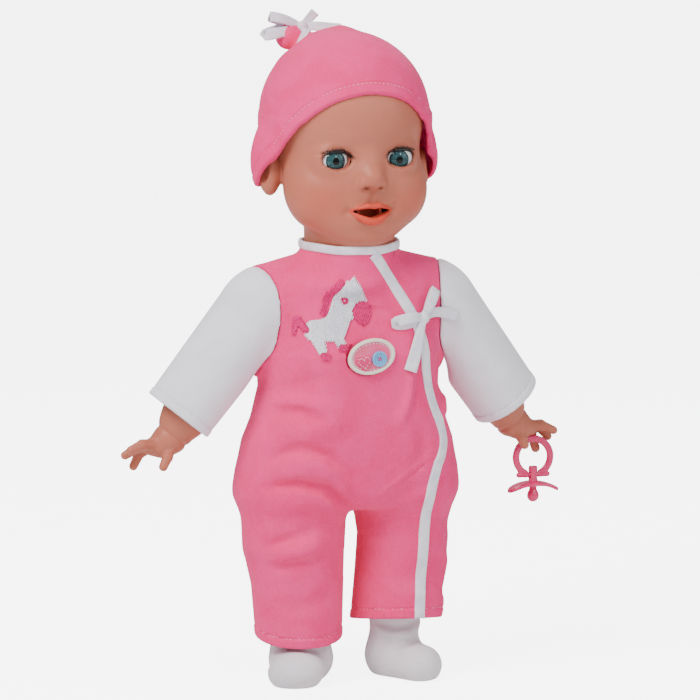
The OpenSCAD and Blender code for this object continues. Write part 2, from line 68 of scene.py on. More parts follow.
# %% [markdown]
# ## Camera, light and floor
#
# A doll in a shop picture is lit by big soft boxes, so that vinyl keeps a soft roll of light and no hard
# edge. A long lens five metres away keeps the head from looking big. The doll is seen from its right side,
# a little above. A small lamp on the other side puts the glint in its eyes.

# %% Camera
VIEW_AZIMUTH = math.radians(-20)
VIEW_RISE = math.radians(7.5)
CAMERA_FAR = 5.0
aim = Vector(place([0.5, 0, 191]))
level = math.cos(VIEW_RISE)
away = Vector((math.sin(VIEW_AZIMUTH) * level, -math.cos(VIEW_AZIMUTH) * level, math.sin(VIEW_RISE)))
camera_data = bpy.data.cameras.new("camera")
camera_data.lens = 448
camera_data.sensor_width = 36
camera = bpy.data.objects.new("camera", camera_data)
camera.location = aim + away * CAMERA_FAR
camera.rotation_mode = "QUATERNION"
camera.rotation_quaternion = (-away).to_track_quat("-Z", "Y")
bpy.context.scene.collection.objects.link(camera)
bpy.context.scene.camera = camera


# %% Lights
def soft_box(name, azimuth, rise, far, size, power, tint=(1, 1, 1)):
    """A square lamp at an azimuth counted like the camera's, facing the doll's chest."""
    data = bpy.data.lights.new(name, "AREA")
    data.shape, data.size, data.energy, data.color = "SQUARE", size, power, tint
    lamp = bpy.data.objects.new(name, data)
    a, r = math.radians(azimuth), math.radians(rise)
    back = Vector((math.sin(a) * math.cos(r), -math.cos(a) * math.cos(r), math.sin(r)))
    lamp.location = aim + back * far
    lamp.rotation_mode = "QUATERNION"
    lamp.rotation_quaternion = back.to_track_quat("Z", "Y")
    bpy.context.scene.collection.objects.link(lamp)


soft_box("key", -56, 46, 1.5, 0.7, 27)
soft_box("fill", 48, 20, 1.6, 1.1, 6)
soft_box("catch", 14, 30, 1.8, 0.3, 5, (1, 0.98, 0.95))
soft_box("rim", 165, 50, 1.4, 0.8, 8)
world = bpy.data.worlds.new("studio")
world.use_nodes = True
light_path = world.node_tree.nodes.new("ShaderNodeLightPath")
seen = world.node_tree.nodes.new("ShaderNodeMapRange")
world.node_tree.links.new(light_path.outputs["Is Camera Ray"], seen.inputs["Value"])
seen.inputs["To Min"].default_value = 0.42
seen.inputs["To Max"].default_value = 9.0
world.node_tree.links.new(seen.outputs[0], world.node_tree.nodes["Background"].inputs["Strength"])
world.node_tree.nodes["Background"].inputs["Color"].default_value = (1, 1, 1, 1)
bpy.context.scene.world = world

# %% Floor
floor_mesh = bpy.data.meshes.new("floor")
floor_mesh.from_pydata([(-6, -6, 0), (6, -6, 0), (6, 6, 0), (-6, 6, 0)], [], [(0, 1, 2, 3)])
floor = bpy.data.objects.new("floor", floor_mesh)
bpy.context.scene.collection.objects.link(floor)
paper = bpy.data.materials.new("paper")
paper.use_nodes = True
paper.node_tree.nodes["Principled BSDF"].inputs["Base Color"].default_value = (0.93, 0.93, 0.93, 1)
paper.node_tree.nodes["Principled BSDF"].inputs["Roughness"].default_value = 0.9
paper.node_tree.nodes["Principled BSDF"].inputs["Emission Color"].default_value = (1, 1, 1, 1)
floor_path = paper.node_tree.nodes.new("ShaderNodeLightPath")
floor_glow = paper.node_tree.nodes.new("ShaderNodeMath")
floor_glow.operation = "MULTIPLY"
floor_glow.inputs[1].default_value = 5.5
paper.node_tree.links.new(floor_path.outputs["Is Camera Ray"], floor_glow.inputs[0])
paper.node_tree.links.new(
    floor_glow.outputs[0], paper.node_tree.nodes["Principled BSDF"].inputs["Emission Strength"]
)
floor_mesh.materials.append(paper)

# %% [markdown]
# ## Finishes
#
# Every finish is a small node graph. A helper makes nodes and links in one call, so each recipe below
# reads like a list: what the colour does, what the pile or grain does to the bump, and how it shines.


# %% Node helper
def finish(name, roughness=0.5, **constants):
    """A material with its shader's plain numbers set on the sockets. Returns it with a node maker."""
    material = bpy.data.materials.new(name)
    material.use_nodes = True
    tree = material.node_tree
    shader = tree.nodes["Principled BSDF"]
    shader.inputs["Roughness"].default_value = roughness
    for key, value in constants.items():
        shader.inputs[key.replace("_", " ")].default_value = value

    def add(kind, settings=None, **inputs):
        node = tree.nodes.new(kind)
        for key, value in (settings or {}).items():
            setattr(node, key, value)
        for key, value in inputs.items():
            if key[0] == "i" and key[1:].isdigit():
                socket = node.inputs[int(key[1:])]
            else:
                socket = node.inputs[key.replace("_", " ")]
            if isinstance(value, bpy.types.NodeSocket):
                tree.links.new(value, socket)
            else:
                socket.default_value = value
        return node

    return material, add, shader, tree


def blend_colour(add, share, a, b, kind="MIX"):
    """Mixes two colours by a share. Colours may be sockets or plain tuples."""
    node = add("ShaderNodeMix", {"data_type": "RGBA", "blend_type": kind, "clamp_factor": True})
    tree = node.id_data
    for socket, value in ((node.inputs[0], share), (node.inputs[6], a), (node.inputs[7], b)):
        if isinstance(value, bpy.types.NodeSocket):
            tree.links.new(value, socket)
        else:
            socket.default_value = value
    return node.outputs[2]


def remap(add, value, low, high, to_low=0.0, to_high=1.0):
    """A smooth step from low to high."""
    node = add("ShaderNodeMapRange", {"interpolation_type": "SMOOTHSTEP"})
    node.id_data.links.new(value, node.inputs[0])
    for k, v in zip((1, 2, 3, 4), (low, high, to_low, to_high)):
        node.inputs[k].default_value = v
    return node.outputs[0]


def noise(add, scale, detail=2.0, roughness=0.5, coordinates=None, distortion=0.0):
    """Noise on Object coordinates, in cycles per metre."""
    if coordinates is None:
        coordinates = add("ShaderNodeTexCoord").outputs["Object"]
    node = add(
        "ShaderNodeTexNoise", Vector=coordinates, Scale=scale, Detail=detail, Roughness=roughness,
        Distortion=distortion
    )
    return node.outputs[0]


# %% [markdown]
# Velour is a knit with a short pile. Where the pile is brushed one way it looks lighter, so the colour
# wanders in soft patches a couple of centimetres wide, and a fine grain sits on top. Sheen lifts the
# edges where the pile is seen from its side.


# %% Velour, jersey and tape
def velour(name, dark, middle, light, sheen):
    material, add, shader, tree = finish(
        name, 0.9, Sheen_Weight=sheen, Sheen_Roughness=0.45, Specular_IOR_Level=0.12
    )
    shader.inputs["Sheen Tint"].default_value = (1.0, 0.82, 0.88, 1)
    nap = remap(add, noise(add, 42, 3, 0.55, distortion=0.6), 0.36, 0.66)
    pile = noise(add, 1500, 3, 0.7)
    grain = remap(add, pile, 0.3, 0.72)
    colour = blend_colour(add, nap, dark, middle)
    colour = blend_colour(add, remap(add, grain, 0.45, 1.0, 0.0, 0.34), colour, light)
    tree.links.new(colour, shader.inputs["Base Color"])
    bump = add("ShaderNodeBump", Strength=0.35, Distance=0.0005, Height=pile)
    soft = add(
        "ShaderNodeBump", Strength=0.18, Distance=0.003, Height=noise(add, 120, 2), Normal=bump.outputs[0]
    )
    tree.links.new(soft.outputs[0], shader.inputs["Normal"])
    return material


PINK_VELOUR = velour(
    "pink_velour", (0.88, 0.026, 0.180, 1), (0.92, 0.040, 0.215, 1), (0.95, 0.13, 0.34, 1), 0.10
)
WHITE_VELOUR = velour(
    "white_velour", (0.80, 0.79, 0.87, 1), (0.86, 0.85, 0.92, 1), (0.94, 0.93, 0.97, 1), 0.25
)
SOCK_KNIT = velour("sock_knit", (0.69, 0.66, 0.70, 1), (0.79, 0.755, 0.80, 1), (0.90, 0.88, 0.91, 1), 0.25)


def tape(name, colour, shade):
    """Woven bias tape and ribbon: a fine cross weave, a soft satin look."""
    material, add, shader, tree = finish(
        name, 0.62, Sheen_Weight=0.2, Sheen_Roughness=0.4, Specular_IOR_Level=0.3
    )
    where = add("ShaderNodeTexCoord").outputs["Object"]
    warp = add(
        "ShaderNodeTexWave", {"bands_direction": "DIAGONAL"}, Vector=where, Scale=420.0, Distortion=0.6
    )
    weft = add("ShaderNodeTexWave", {"bands_direction": "Z"}, Vector=where, Scale=520.0, Distortion=0.8)
    weave = add("ShaderNodeMath", {"operation": "MULTIPLY"}, i0=warp.outputs["Fac"], i1=weft.outputs["Fac"])
    colour = blend_colour(add, remap(add, noise(add, 160, 2), 0.3, 0.7), shade, colour)
    tree.links.new(colour, shader.inputs["Base Color"])
    bump = add("ShaderNodeBump", Strength=0.3, Distance=0.0002, Height=weave.outputs[0])
    tree.links.new(bump.outputs[0], shader.inputs["Normal"])
    return material


WHITE_TAPE = tape("white_tape", (0.86, 0.84, 0.91, 1), (0.74, 0.71, 0.82, 1))


def thread(name, colour, shade):
    """Embroidery thread: glossy along its length, a little uneven from stitch to stitch."""
    material, add, shader, tree = finish(name, 0.5, Sheen_Weight=0.08, Specular_IOR_Level=0.25)
    colour = blend_colour(add, remap(add, noise(add, 900, 1), 0.35, 0.65), shade, colour)
    tree.links.new(colour, shader.inputs["Base Color"])
    bump = add("ShaderNodeBump", Strength=0.4, Distance=0.0001, Height=noise(add, 4000, 1))
    tree.links.new(bump.outputs[0], shader.inputs["Normal"])
    return material


WHITE_THREAD = thread("white_thread", (0.88, 0.88, 0.93, 1), (0.72, 0.70, 0.80, 1))
PINK_THREAD = thread("pink_thread", (0.80, 0.008, 0.20, 1), (0.64, 0.004, 0.14, 1))
SEAM_THREAD = thread("seam_thread", (0.93, 0.45, 0.56, 1), (0.85, 0.33, 0.46, 1))

# %% [markdown]
# Doll vinyl is soft and slightly see-through, so light bleeds a few millimetres under the skin. The
# painted parts are sprayed through masks at the factory: lips and cheeks. A shade mask adds painted shade
# round the lids, in the creases above them, in the nostrils and at the mouth's corners. Here the masks are
# numbers stored on the mesh's points, made by the same fields that made the shape.


# %% Vinyl skin
def vinyl(name, painted):
    material, add, shader, tree = finish(
        name, 0.42, Subsurface_Weight=0.12, Subsurface_Scale=0.004, Specular_IOR_Level=0.25
    )
    shader.inputs["Subsurface Radius"].default_value = (1.0, 0.35, 0.2)
    tone = remap(add, noise(add, 30, 2), 0.3, 0.7)
    colour = blend_colour(add, tone, (0.470, 0.138, 0.085, 1), (0.505, 0.157, 0.100, 1))
    if painted:
        # the shade layer is painted shade: dark brown over the gaps round the eyes, the lid creases, the
        # nostrils and the mouth's corners
        layers = (
            ("blush", (0.62, 0.100, 0.065, 1)), ("shade", (0.22, 0.045, 0.02, 1)),
            ("lips", (0.62, 0.062, 0.035, 1)), ("inside", (0.55, 0.10, 0.06, 1)),
            ("line", (0.006, 0.005, 0.005, 1))
        )
        for layer, paint in layers:
            mask = add("ShaderNodeAttribute", {"attribute_name": layer}).outputs["Fac"]
            colour = blend_colour(add, mask, colour, paint)
    tree.links.new(colour, shader.inputs["Base Color"])
    bump = add("ShaderNodeBump", Strength=0.06, Distance=0.0003, Height=noise(add, 900, 3))
    tree.links.new(bump.outputs[0], shader.inputs["Normal"])
    return material


FACE_VINYL = vinyl("face_vinyl", True)
SKIN_VINYL = vinyl("skin_vinyl", False)


def plastic(name, colour, shade, roughness=0.3, coat=0.0, metal=0.0):
    """Moulded plastic, or plated steel when metal is 1, with a faint drift of tone and a fine grain."""
    material, add, shader, tree = finish(
        name, roughness, Metallic=metal, Coat_Weight=coat, Coat_Roughness=0.08
    )
    colour = blend_colour(add, remap(add, noise(add, 90, 2), 0.3, 0.7), shade, colour)
    tree.links.new(colour, shader.inputs["Base Color"])
    bump = add("ShaderNodeBump", Strength=0.05, Distance=0.0002, Height=noise(add, 1200, 2))
    tree.links.new(bump.outputs[0], shader.inputs["Normal"])
    return material


HOT_PINK = plastic("hot_pink_plastic", (0.76, 0.015, 0.150, 1), (0.68, 0.010, 0.125, 1), 0.25, 0.4)
CREAM = plastic("cream_plastic", (0.87, 0.82, 0.70, 1), (0.80, 0.74, 0.62, 1), 0.35, 0.3)
SKY = plastic("sky_plastic", (0.13, 0.42, 0.74, 1), (0.10, 0.36, 0.66, 1), 0.25, 0.5)
LASH = plastic("lash_fibre", (0.012, 0.010, 0.010, 1), (0.02, 0.016, 0.014, 1), 0.6)

# %% [markdown]
# ## Sculpting with distance fields
#
# A doll's head or a puffy romper has no edges to model from. A distance field says how far any point is
# from the surface, and fields join smoothly, so a cheek is one more ball and a fold is one more stroke.
# The field is then turned into a mesh: one point in each small cube that the surface crosses, and a
# square round each crossing edge. Two Newton steps pull every point onto the true surface, and the
# field's own slope gives clean normals.


# %% Brushes
def length(v):
    return np.sqrt((v * v).sum(1))


def ball(p, centre, radius):
    return length(p - centre) - radius


def egg(p, centre, radii):
    q = (p - centre) / radii
    k = length(q)
    return k * (k - 1) / np.maximum(length(q / radii), 1e-6)


def along(p, a, b):
    """How far along the line from a to b each point is, from 0 to 1, and its distance from the line."""
    a, b = np.asarray(a, float), np.asarray(b, float)
    t = np.clip(((p - a) @ (b - a)) / ((b - a) @ (b - a)), 0, 1)
    return t, length(p - a - t[:, None] * (b - a))


def limb(p, a, b, radius_a, radius_b):
    t, d = along(p, a, b)
    return d - (radius_a + (radius_b - radius_a) * t)


def join(a, b, soft):
    h = np.clip(0.5 + 0.5 * (b - a) / soft, 0, 1)
    return b + (a - b) * h - soft * h * (1 - h)


def carve(a, b, soft):
    return -join(-a, b, soft)


def swell(d, p, centre, size, height):
    """Pushes the surface out by height round a centre, or in where height is below zero."""
    return d - height * np.exp(-(((p - centre) / size) ** 2).sum(1) / 2)


def chain(p, points, radii):
    """Tapered rods through a list of points."""
    d = limb(p, points[0], points[1], radii[0], radii[1])
    for k in range(1, len(points) - 1):
        d = np.minimum(d, limb(p, points[k], points[k + 1], radii[k], radii[k + 1]))
    return d


def mirrored(p):
    return np.column_stack((np.abs(p[:, 0]), p[:, 1:]))


def step(low, high, value):
    t = np.clip((value - low) / (high - low), 0, 1)
    return t * t * (3 - 2 * t)


# %% From a field to a mesh
def slope(field, p, h=0.05):
    g = np.empty_like(p)
    for k in range(3):
        e = np.zeros(3)
        e[k] = h
        g[:, k] = (field(p + e) - field(p - e)) / (2 * h)
    return g


def net(field, low, high, size):
    """Points and squares of the surface where the field is zero, from a grid of cubes of that size."""
    low, high = np.array(low, float), np.array(high, float)
    count = np.ceil((high - low) / size).astype(int) + 1
    x, y, z = (low[k] + size * np.arange(count[k]) for k in range(3))
    value = np.empty(count)
    sheet = np.stack(np.meshgrid([0.0], y, z, indexing="ij"), -1).reshape(-1, 3)
    for i, level in enumerate(x):
        sheet[:, 0] = level
        value[i] = field(sheet).reshape(count[1], count[2])
    value[value == 0] = 1e-6
    inside = value < 0
    cells = tuple(count - 1)
    crossings, total = np.zeros(cells), np.zeros(cells + (3,))
    for k in range(3):
        others = [m for m in range(3) if m != k]
        for du in (0, 1):
            for dv in (0, 1):
                at = [slice(None, -1)] * 3
                at[others[0]] = slice(du, du + cells[others[0]])
                at[others[1]] = slice(dv, dv + cells[others[1]])
                beyond = list(at)
                beyond[k] = slice(1, None)
                v0, v1 = value[tuple(at)], value[tuple(beyond)]
                hit = (v0 < 0) != (v1 < 0)
                t = np.where(hit, v0 / np.where(hit, v0 - v1, 1), 0)
                crossings += hit
                total[..., k] += t
                total[..., others[0]] += du * hit
                total[..., others[1]] += dv * hit
    used = crossings > 0
    index = -np.ones(cells, int)
    index[used] = np.arange(used.sum())
    where = np.argwhere(used)
    points = low + size * (where + total[used] / crossings[used][:, None])
    squares = []
    for k in range(3):
        u, v = (k + 1) % 3, (k + 2) % 3
        at = [slice(1, -1)] * 3
        at[k] = slice(0, -1)
        beyond = list(at)
        beyond[k] = slice(1, None)
        a, b = inside[tuple(at)], inside[tuple(beyond)]
        start = np.ones(3, int)
        start[k] = 0
        for way, mask in ((1, a & ~b), (-1, ~a & b)):
            edge = np.argwhere(mask) + start
            ring = []
            for du, dv in ((0, 0), (1, 0), (1, 1), (0, 1))[::way]:
                cell = edge.copy()
                cell[:, u] -= du
                cell[:, v] -= dv
                ring.append(index[tuple(cell.T)])
            squares.append(np.stack(ring, 1))
    squares = np.concatenate(squares)
    for _ in range(3):
        g = slope(field, points)
        d = field(points)
        move = -d[:, None] * g / np.maximum((g * g).sum(1), 0.25)[:, None]
        far = length(move)
        points = points + move * np.minimum(1, 0.5 * size / np.maximum(far, 1e-9))[:, None]
    return points, squares


def mesh_object(name, points, faces, material, normals=None, layers=None):
    """A smooth-shaded object from the doll's millimetres, with its paint masks."""
    data = bpy.data.meshes.new(name)
    data.from_pydata(
        place(points), [],
        [tuple(f) for f in np.asarray(faces).tolist()] if isinstance(faces, np.ndarray) else faces
    )
    data.polygons.foreach_set("use_smooth", np.ones(len(data.polygons), bool))
    for layer, values in (layers or {}).items():
        data.attributes.new(layer, "FLOAT", "POINT").data.foreach_set("value", np.asarray(values, np.float32))
    data.update()
    if normals is not None:
        data.normals_split_custom_set_from_vertices(normals)
    data.materials.append(material)
    obj = bpy.data.objects.new(name, data)
    bpy.context.scene.collection.objects.link(obj)
    return obj


def unit(v):
    return v / np.maximum(np.linalg.norm(v, axis=-1, keepdims=True), 1e-9)


def sculpt(name, field, low, high, size, material, layers=None):
    """Meshes a field in one piece. layers turns the points into paint masks."""
    points, faces = net(field, low, high, size)
    obj = mesh_object(
        name, points, faces, material, unit(slope(field, points)), layers(points) if layers else None
    )
    print(f"{name}: {len(points)} points, {len(faces)} faces")
    return obj


# %% [markdown]
# ## The head
#
# The head is one rotocast vinyl shell. Balls and eggs give the skull, cheeks, jowls and chin; lids are
# thin balls round the eyes with an almond cut; nose, lips and ears are small strokes on top. The shell is
# hollow, because the eyes swing on levers inside it. It follows the neck's joint.

# %% Head proportions
eye_joint = np.array(joints["eye_left_close"]["pos_m"])
EYE = (eye_joint - neck_axis) * 1000
EYE_BALL = 9.5
LID = 1.9
SHELL = 3.0
LIP_CORNER = (11.8, -35.6, 275.6)
UPPER_LIP = [LIP_CORNER, (7.6, -38.6, 277.3), (3.2, -40.9, 278.7), (0, -41.0, 278.1)]
LOWER_LIP = [LIP_CORNER, (8.0, -38.0, 272.6), (4.2, -40.0, 270.4), (0, -40.6, 269.7)]
print("eye centre, mm", EYE.round(2))


def eye_rim(p, grow=0.0):
    """Distance, across the face, from the outline of an eye's opening. Outside is above zero."""
    x = (p[:, 0] - EYE[0]) / (8.0 + grow)
    z = (p[:, 2] - EYE[2] - 0.6) / (5.0 + grow)
    return (np.sqrt(np.abs(x) ** 1.75 + z * z) - 1) * 5.6


def mouth_gap(p):
    """Distance from the opening between the lips: nearly straight above, deep in the middle below."""
    x = np.abs(p[:, 0]) / 11.0
    top = 277.3 - 1.6 * x**2 - 0.6 * np.exp(-((p[:, 0] / 1.7) ** 2))
    bottom = 275.6 - 4.0 * (1.14 - np.sqrt(x * x + 0.02))
    return np.maximum(np.maximum(p[:, 2] - top, bottom - p[:, 2]), (x - 1) * 5)


def skull(q):
    """The head without its features, on the mirrored half q."""
    d = egg(q, (0, 9.5, 326), (45.5, 48.5, 45))
    d = join(d, egg(q, (0, -7, 291), (41, 31.5, 31)), 10)
    d = join(d, ball(q, (19.6, -12, 283), 21.6), 6)
    d = join(d, ball(q, (9, -19.5, 270.5), 15.5), 8)
    d = join(d, ball(q, (2, -23, 267), 12.6), 6)
    d = join(d, ball(q, (0, 8, 282), 27), 8)
    neck = np.maximum(np.hypot(q[:, 0], q[:, 1]) - 26, np.maximum(246 - q[:, 2], q[:, 2] - 275))
    return join(d, neck, 5)


def head_field(p):
    q = mirrored(p)
    d = skull(q)
    socket = np.maximum(length(q - EYE) - EYE_BALL - 0.3 - LID, q[:, 1] - EYE[1] + 3)
    hollow = np.maximum(d + SHELL, -socket)
    close = d < 14
    r = q[close]
    f = d[close]
    # brow and the hollow of the eyes
    f = swell(f, r, (EYE[0] - 1, -34, EYE[2] + 1), (11, 12, 7.5), -1.2)
    f = swell(f, r, (EYE[0], -37, EYE[2] + 13), (12, 12, 4.5), 0.8)
    f = swell(f, r, (0, -40, 331), (22, 20, 12), 0.8)
    # lids: a ball over the eye, with a rolled edge and a crease above
    f = join(f, ball(r, EYE, EYE_BALL + 0.3 + LID), 4)
    lid_gap = np.maximum(eye_rim(r, 1.3), EYE_BALL + 0.1 + LID - length(r - EYE))
    f = carve(f, np.maximum(lid_gap, r[:, 1] + 12), 1.2)
    crease = (eye_rim(r, 2.4) / 0.9) ** 2 + np.maximum(EYE[2] + 4 - r[:, 2], 0) * 2
    f = f + 0.35 * np.exp(-crease)
    # nose
    f = join(f, limb(r, (0, -31, 306), (0, -37.4, 296), 4.6, 5.4), 8)
    f = join(f, ball(r, (0, -39.8, 293.8), 4.9), 4)
    f = join(f, egg(r, (5.7, -37.6, 291.6), (3.0, 3.9, 3.2)), 2.6)
    f = swell(f, r, (8.9, -38, 293.2), (1.4, 3, 2.8), -0.55)
    f = carve(f, egg(r, (4.2, -41.4, 288.6), (1.9, 2.6, 1.2)), 0.9)
    # philtrum, mouth, chin
    f = swell(f, r, (0, -39.6, 283.6), (1.5, 4, 3.2), -0.7)
    f = swell(f, r, (2.9, -39.6, 283.4), (1.2, 4, 3.0), 0.35)
    f = swell(f, r, (0, -38, 274.5), (13, 8, 8), 1.5)
    f = join(f, chain(r, UPPER_LIP, (0.7, 1.3, 1.7, 1.6)), 1.6)
    f = join(f, chain(r, LOWER_LIP, (0.7, 1.7, 2.3, 2.5)), 1.8)
    f = swell(f, r, (0, -37.5, 263.0), (8, 5, 2.2), -1.3)
    f = swell(f, r, (0, -36, 258.4), (7, 7, 4), 0.9)
    f = swell(f, r, (13.4, -34.5, 275.8), (1.9, 4, 2.4), -1.5)
    f = swell(f, r, (15.5, -33, 283.5), (2.8, 6, 6.5), -0.6)
    # ear
    ear = egg(r, (45.4, 8.0, 293.5), (6.2, 7.4, 12.3))
    ear = carve(ear, egg(r, (51.5, 4.5, 296), (4.0, 4.6, 7.5)), 1.5)
    f = join(f, ear, 4)
    d = d.copy()
    d[close] = f
    # the opening between the lips with the round room behind it, and the eyes' openings and sockets
    d = carve(d, np.maximum(mouth_gap(q), q[:, 1] + 24), 0.7)
    bore = np.maximum(np.hypot(q[:, 0], q[:, 2] - 274) - 7.6, np.abs(q[:, 1] + 19) - 14.8)
    d = np.maximum(d, -bore)
    d = carve(d, np.maximum(eye_rim(q), q[:, 1] - EYE[1]), 0.5)
    d = np.maximum(d, EYE_BALL + 0.3 - length(q - EYE))
    d = np.maximum(d, -np.maximum(hollow, 250 - q[:, 2]))
    return np.maximum(d, 17.5 - np.hypot(q[:, 0], q[:, 1]) - 100 * (q[:, 2] > 252))


def head_paint(p):
    """Where the factory's spray masks leave colour, and where shade is painted in, from 0 to 1."""
    q = mirrored(p)
    front = step(-30, -33, q[:, 1])
    lips = np.minimum(chain(q, UPPER_LIP, (0.3, 0.9, 1.4, 1.2)), chain(q, LOWER_LIP, (0.3, 1.3, 1.9, 2.1)))
    lips = (1 - step(0.3, 1.5, lips)) * front * (q[:, 2] < 284)
    blush = 0.50 * np.exp(-(length((q - (27, -27, 279)) / (10, 14, 9)) ** 2) / 2)
    blush += 0.22 * np.exp(-(length((q - (0, -42, 260)) / (9, 12, 4)) ** 2) / 2)
    blush += 0.12 * np.exp(-(length((q - (0, -44, 292)) / (7, 6, 5)) ** 2) / 2)
    upper = step(-1, 2.5, q[:, 2] - EYE[2])
    # painted shade: the gap round each eyeball, the crease above each lid, the nostrils and the mouth's
    # corners
    shade = 0.9 * (1 - step(-0.2, 0.8, eye_rim(q))) * front
    shade += 0.30 * np.exp(-((eye_rim(q, 2.4) / 1.3) ** 2)) * upper * front
    shade += 0.55 * np.exp(-(length((q - (4.2, -39.9, 288.6)) / (1.9, 4, 1.2)) ** 2) / 2)
    shade += 0.32 * np.exp(-(length((q - (13.0, -35, 275.6)) / (1.7, 3, 0.8)) ** 2) / 2)
    within = (mouth_gap(q) < 0.1) & (q[:, 1] > -38.2) & (q[:, 1] < -20)
    line = (1 - step(0.9, 2.0, eye_rim(q))) * step(0.5, 2.4, q[:, 2] - EYE[2]) * front
    return {
        "line": line, "lips": lips, "blush": np.clip(blush, 0, 1), "shade": np.clip(shade, 0, 1),
        "inside": within.astype(float)
    }


# %% Head
head = sculpt("head_skin", head_field, (-54, -49, 244), (54, 62, 374), 1.0, FACE_VINYL, head_paint)
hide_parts("head_shell")
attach(head, "head")

# %% [markdown]
# ## Sleeping eyes
#
# Each eye is one hard ball: a clear-coated iris and white in front, and a skin-coloured coat on its upper
# part that comes down as a lid when the ball rolls. The pattern is worked out from the direction of each
# point as seen from the ball's centre, so it needs no picture. The lashes are a strip of fibre glued at the
# coat's edge: Geometry Nodes plants a hair at every point of a short arc.


# %% Eye finish
def eye_finish(name, centre, gaze):
    material, add, shader, tree = finish(
        name, 0.15, Specular_IOR_Level=0.15, Coat_Weight=0.3, Coat_Roughness=0.02
    )
    where = add("ShaderNodeTexCoord").outputs["Object"]
    out = add("ShaderNodeVectorMath", {"operation": "SUBTRACT"}, i0=where, i1=tuple(centre)).outputs[0]
    out = add("ShaderNodeVectorMath", {"operation": "NORMALIZE"}, i0=out).outputs[0]
    gaze = Vector(gaze).normalized()
    side = gaze.cross((0, 0, 1)).normalized()
    top = side.cross(gaze)
    off = add("ShaderNodeVectorMath", {"operation": "SUBTRACT"}, i0=out, i1=tuple(gaze)).outputs[0]
    far = add("ShaderNodeVectorMath", {"operation": "LENGTH"}, i0=off).outputs["Value"]
    u = add("ShaderNodeVectorMath", {"operation": "DOT_PRODUCT"}, i0=out, i1=tuple(side)).outputs["Value"]
    v = add("ShaderNodeVectorMath", {"operation": "DOT_PRODUCT"}, i0=out, i1=tuple(top)).outputs["Value"]
    spoke = add("ShaderNodeCombineXYZ", i0=u, i1=v, i2=0.0).outputs[0]
    spoke = add("ShaderNodeVectorMath", {"operation": "NORMALIZE"}, i0=spoke).outputs[0]
    reach = add("ShaderNodeVectorMath", {"operation": "SCALE"}, i0=off, Scale=0.9).outputs[0]
    spoke = add("ShaderNodeVectorMath", {"operation": "ADD"}, i0=spoke, i1=reach).outputs[0]
    fibre = remap(add, noise(add, 9, 3, 0.7, spoke), 0.38, 0.62)
    spots = remap(add, noise(add, 16, 2, 0.6, spoke), 0.52, 0.66)
    iris = blend_colour(add, fibre, (0.005, 0.024, 0.030, 1), (0.020, 0.070, 0.078, 1))
    iris = blend_colour(add, spots, iris, (0.085, 0.19, 0.20, 1))
    iris = blend_colour(add, remap(add, far, 0.50, 0.62), iris, (0.008, 0.022, 0.028, 1))
    iris = blend_colour(add, remap(add, far, 0.205, 0.235, 1, 0), iris, (0.002, 0.002, 0.002, 1))
    colour = blend_colour(add, remap(add, far, 0.625, 0.645), iris, (0.80, 0.79, 0.82, 1))
    # the skin-coloured coat over the top, behind the lashes
    height = add(
        "ShaderNodeVectorMath", {"operation": "DOT_PRODUCT"}, i0=out, i1=LID_EDGE_NORMAL
    ).outputs["Value"]
    lid = remap(add, height, 0.0, 0.012)
    colour = blend_colour(add, lid, colour, (0.50, 0.175, 0.115, 1))
    tree.links.new(colour, shader.inputs["Base Color"])
    tree.links.new(remap(add, lid, 0, 1, 0.1, 0.42), shader.inputs["Roughness"])
    return material


LID_EDGE = math.radians(28)
LID_EDGE_NORMAL = (0.0, math.sin(LID_EDGE), math.cos(LID_EDGE))


# %% Threads and hairs planted by Geometry Nodes
def socket_id(tree, name):
    for item in tree.interface.items_tree:
        if item.item_type == "SOCKET" and item.in_out == "INPUT" and item.name == name:
            return item.identifier


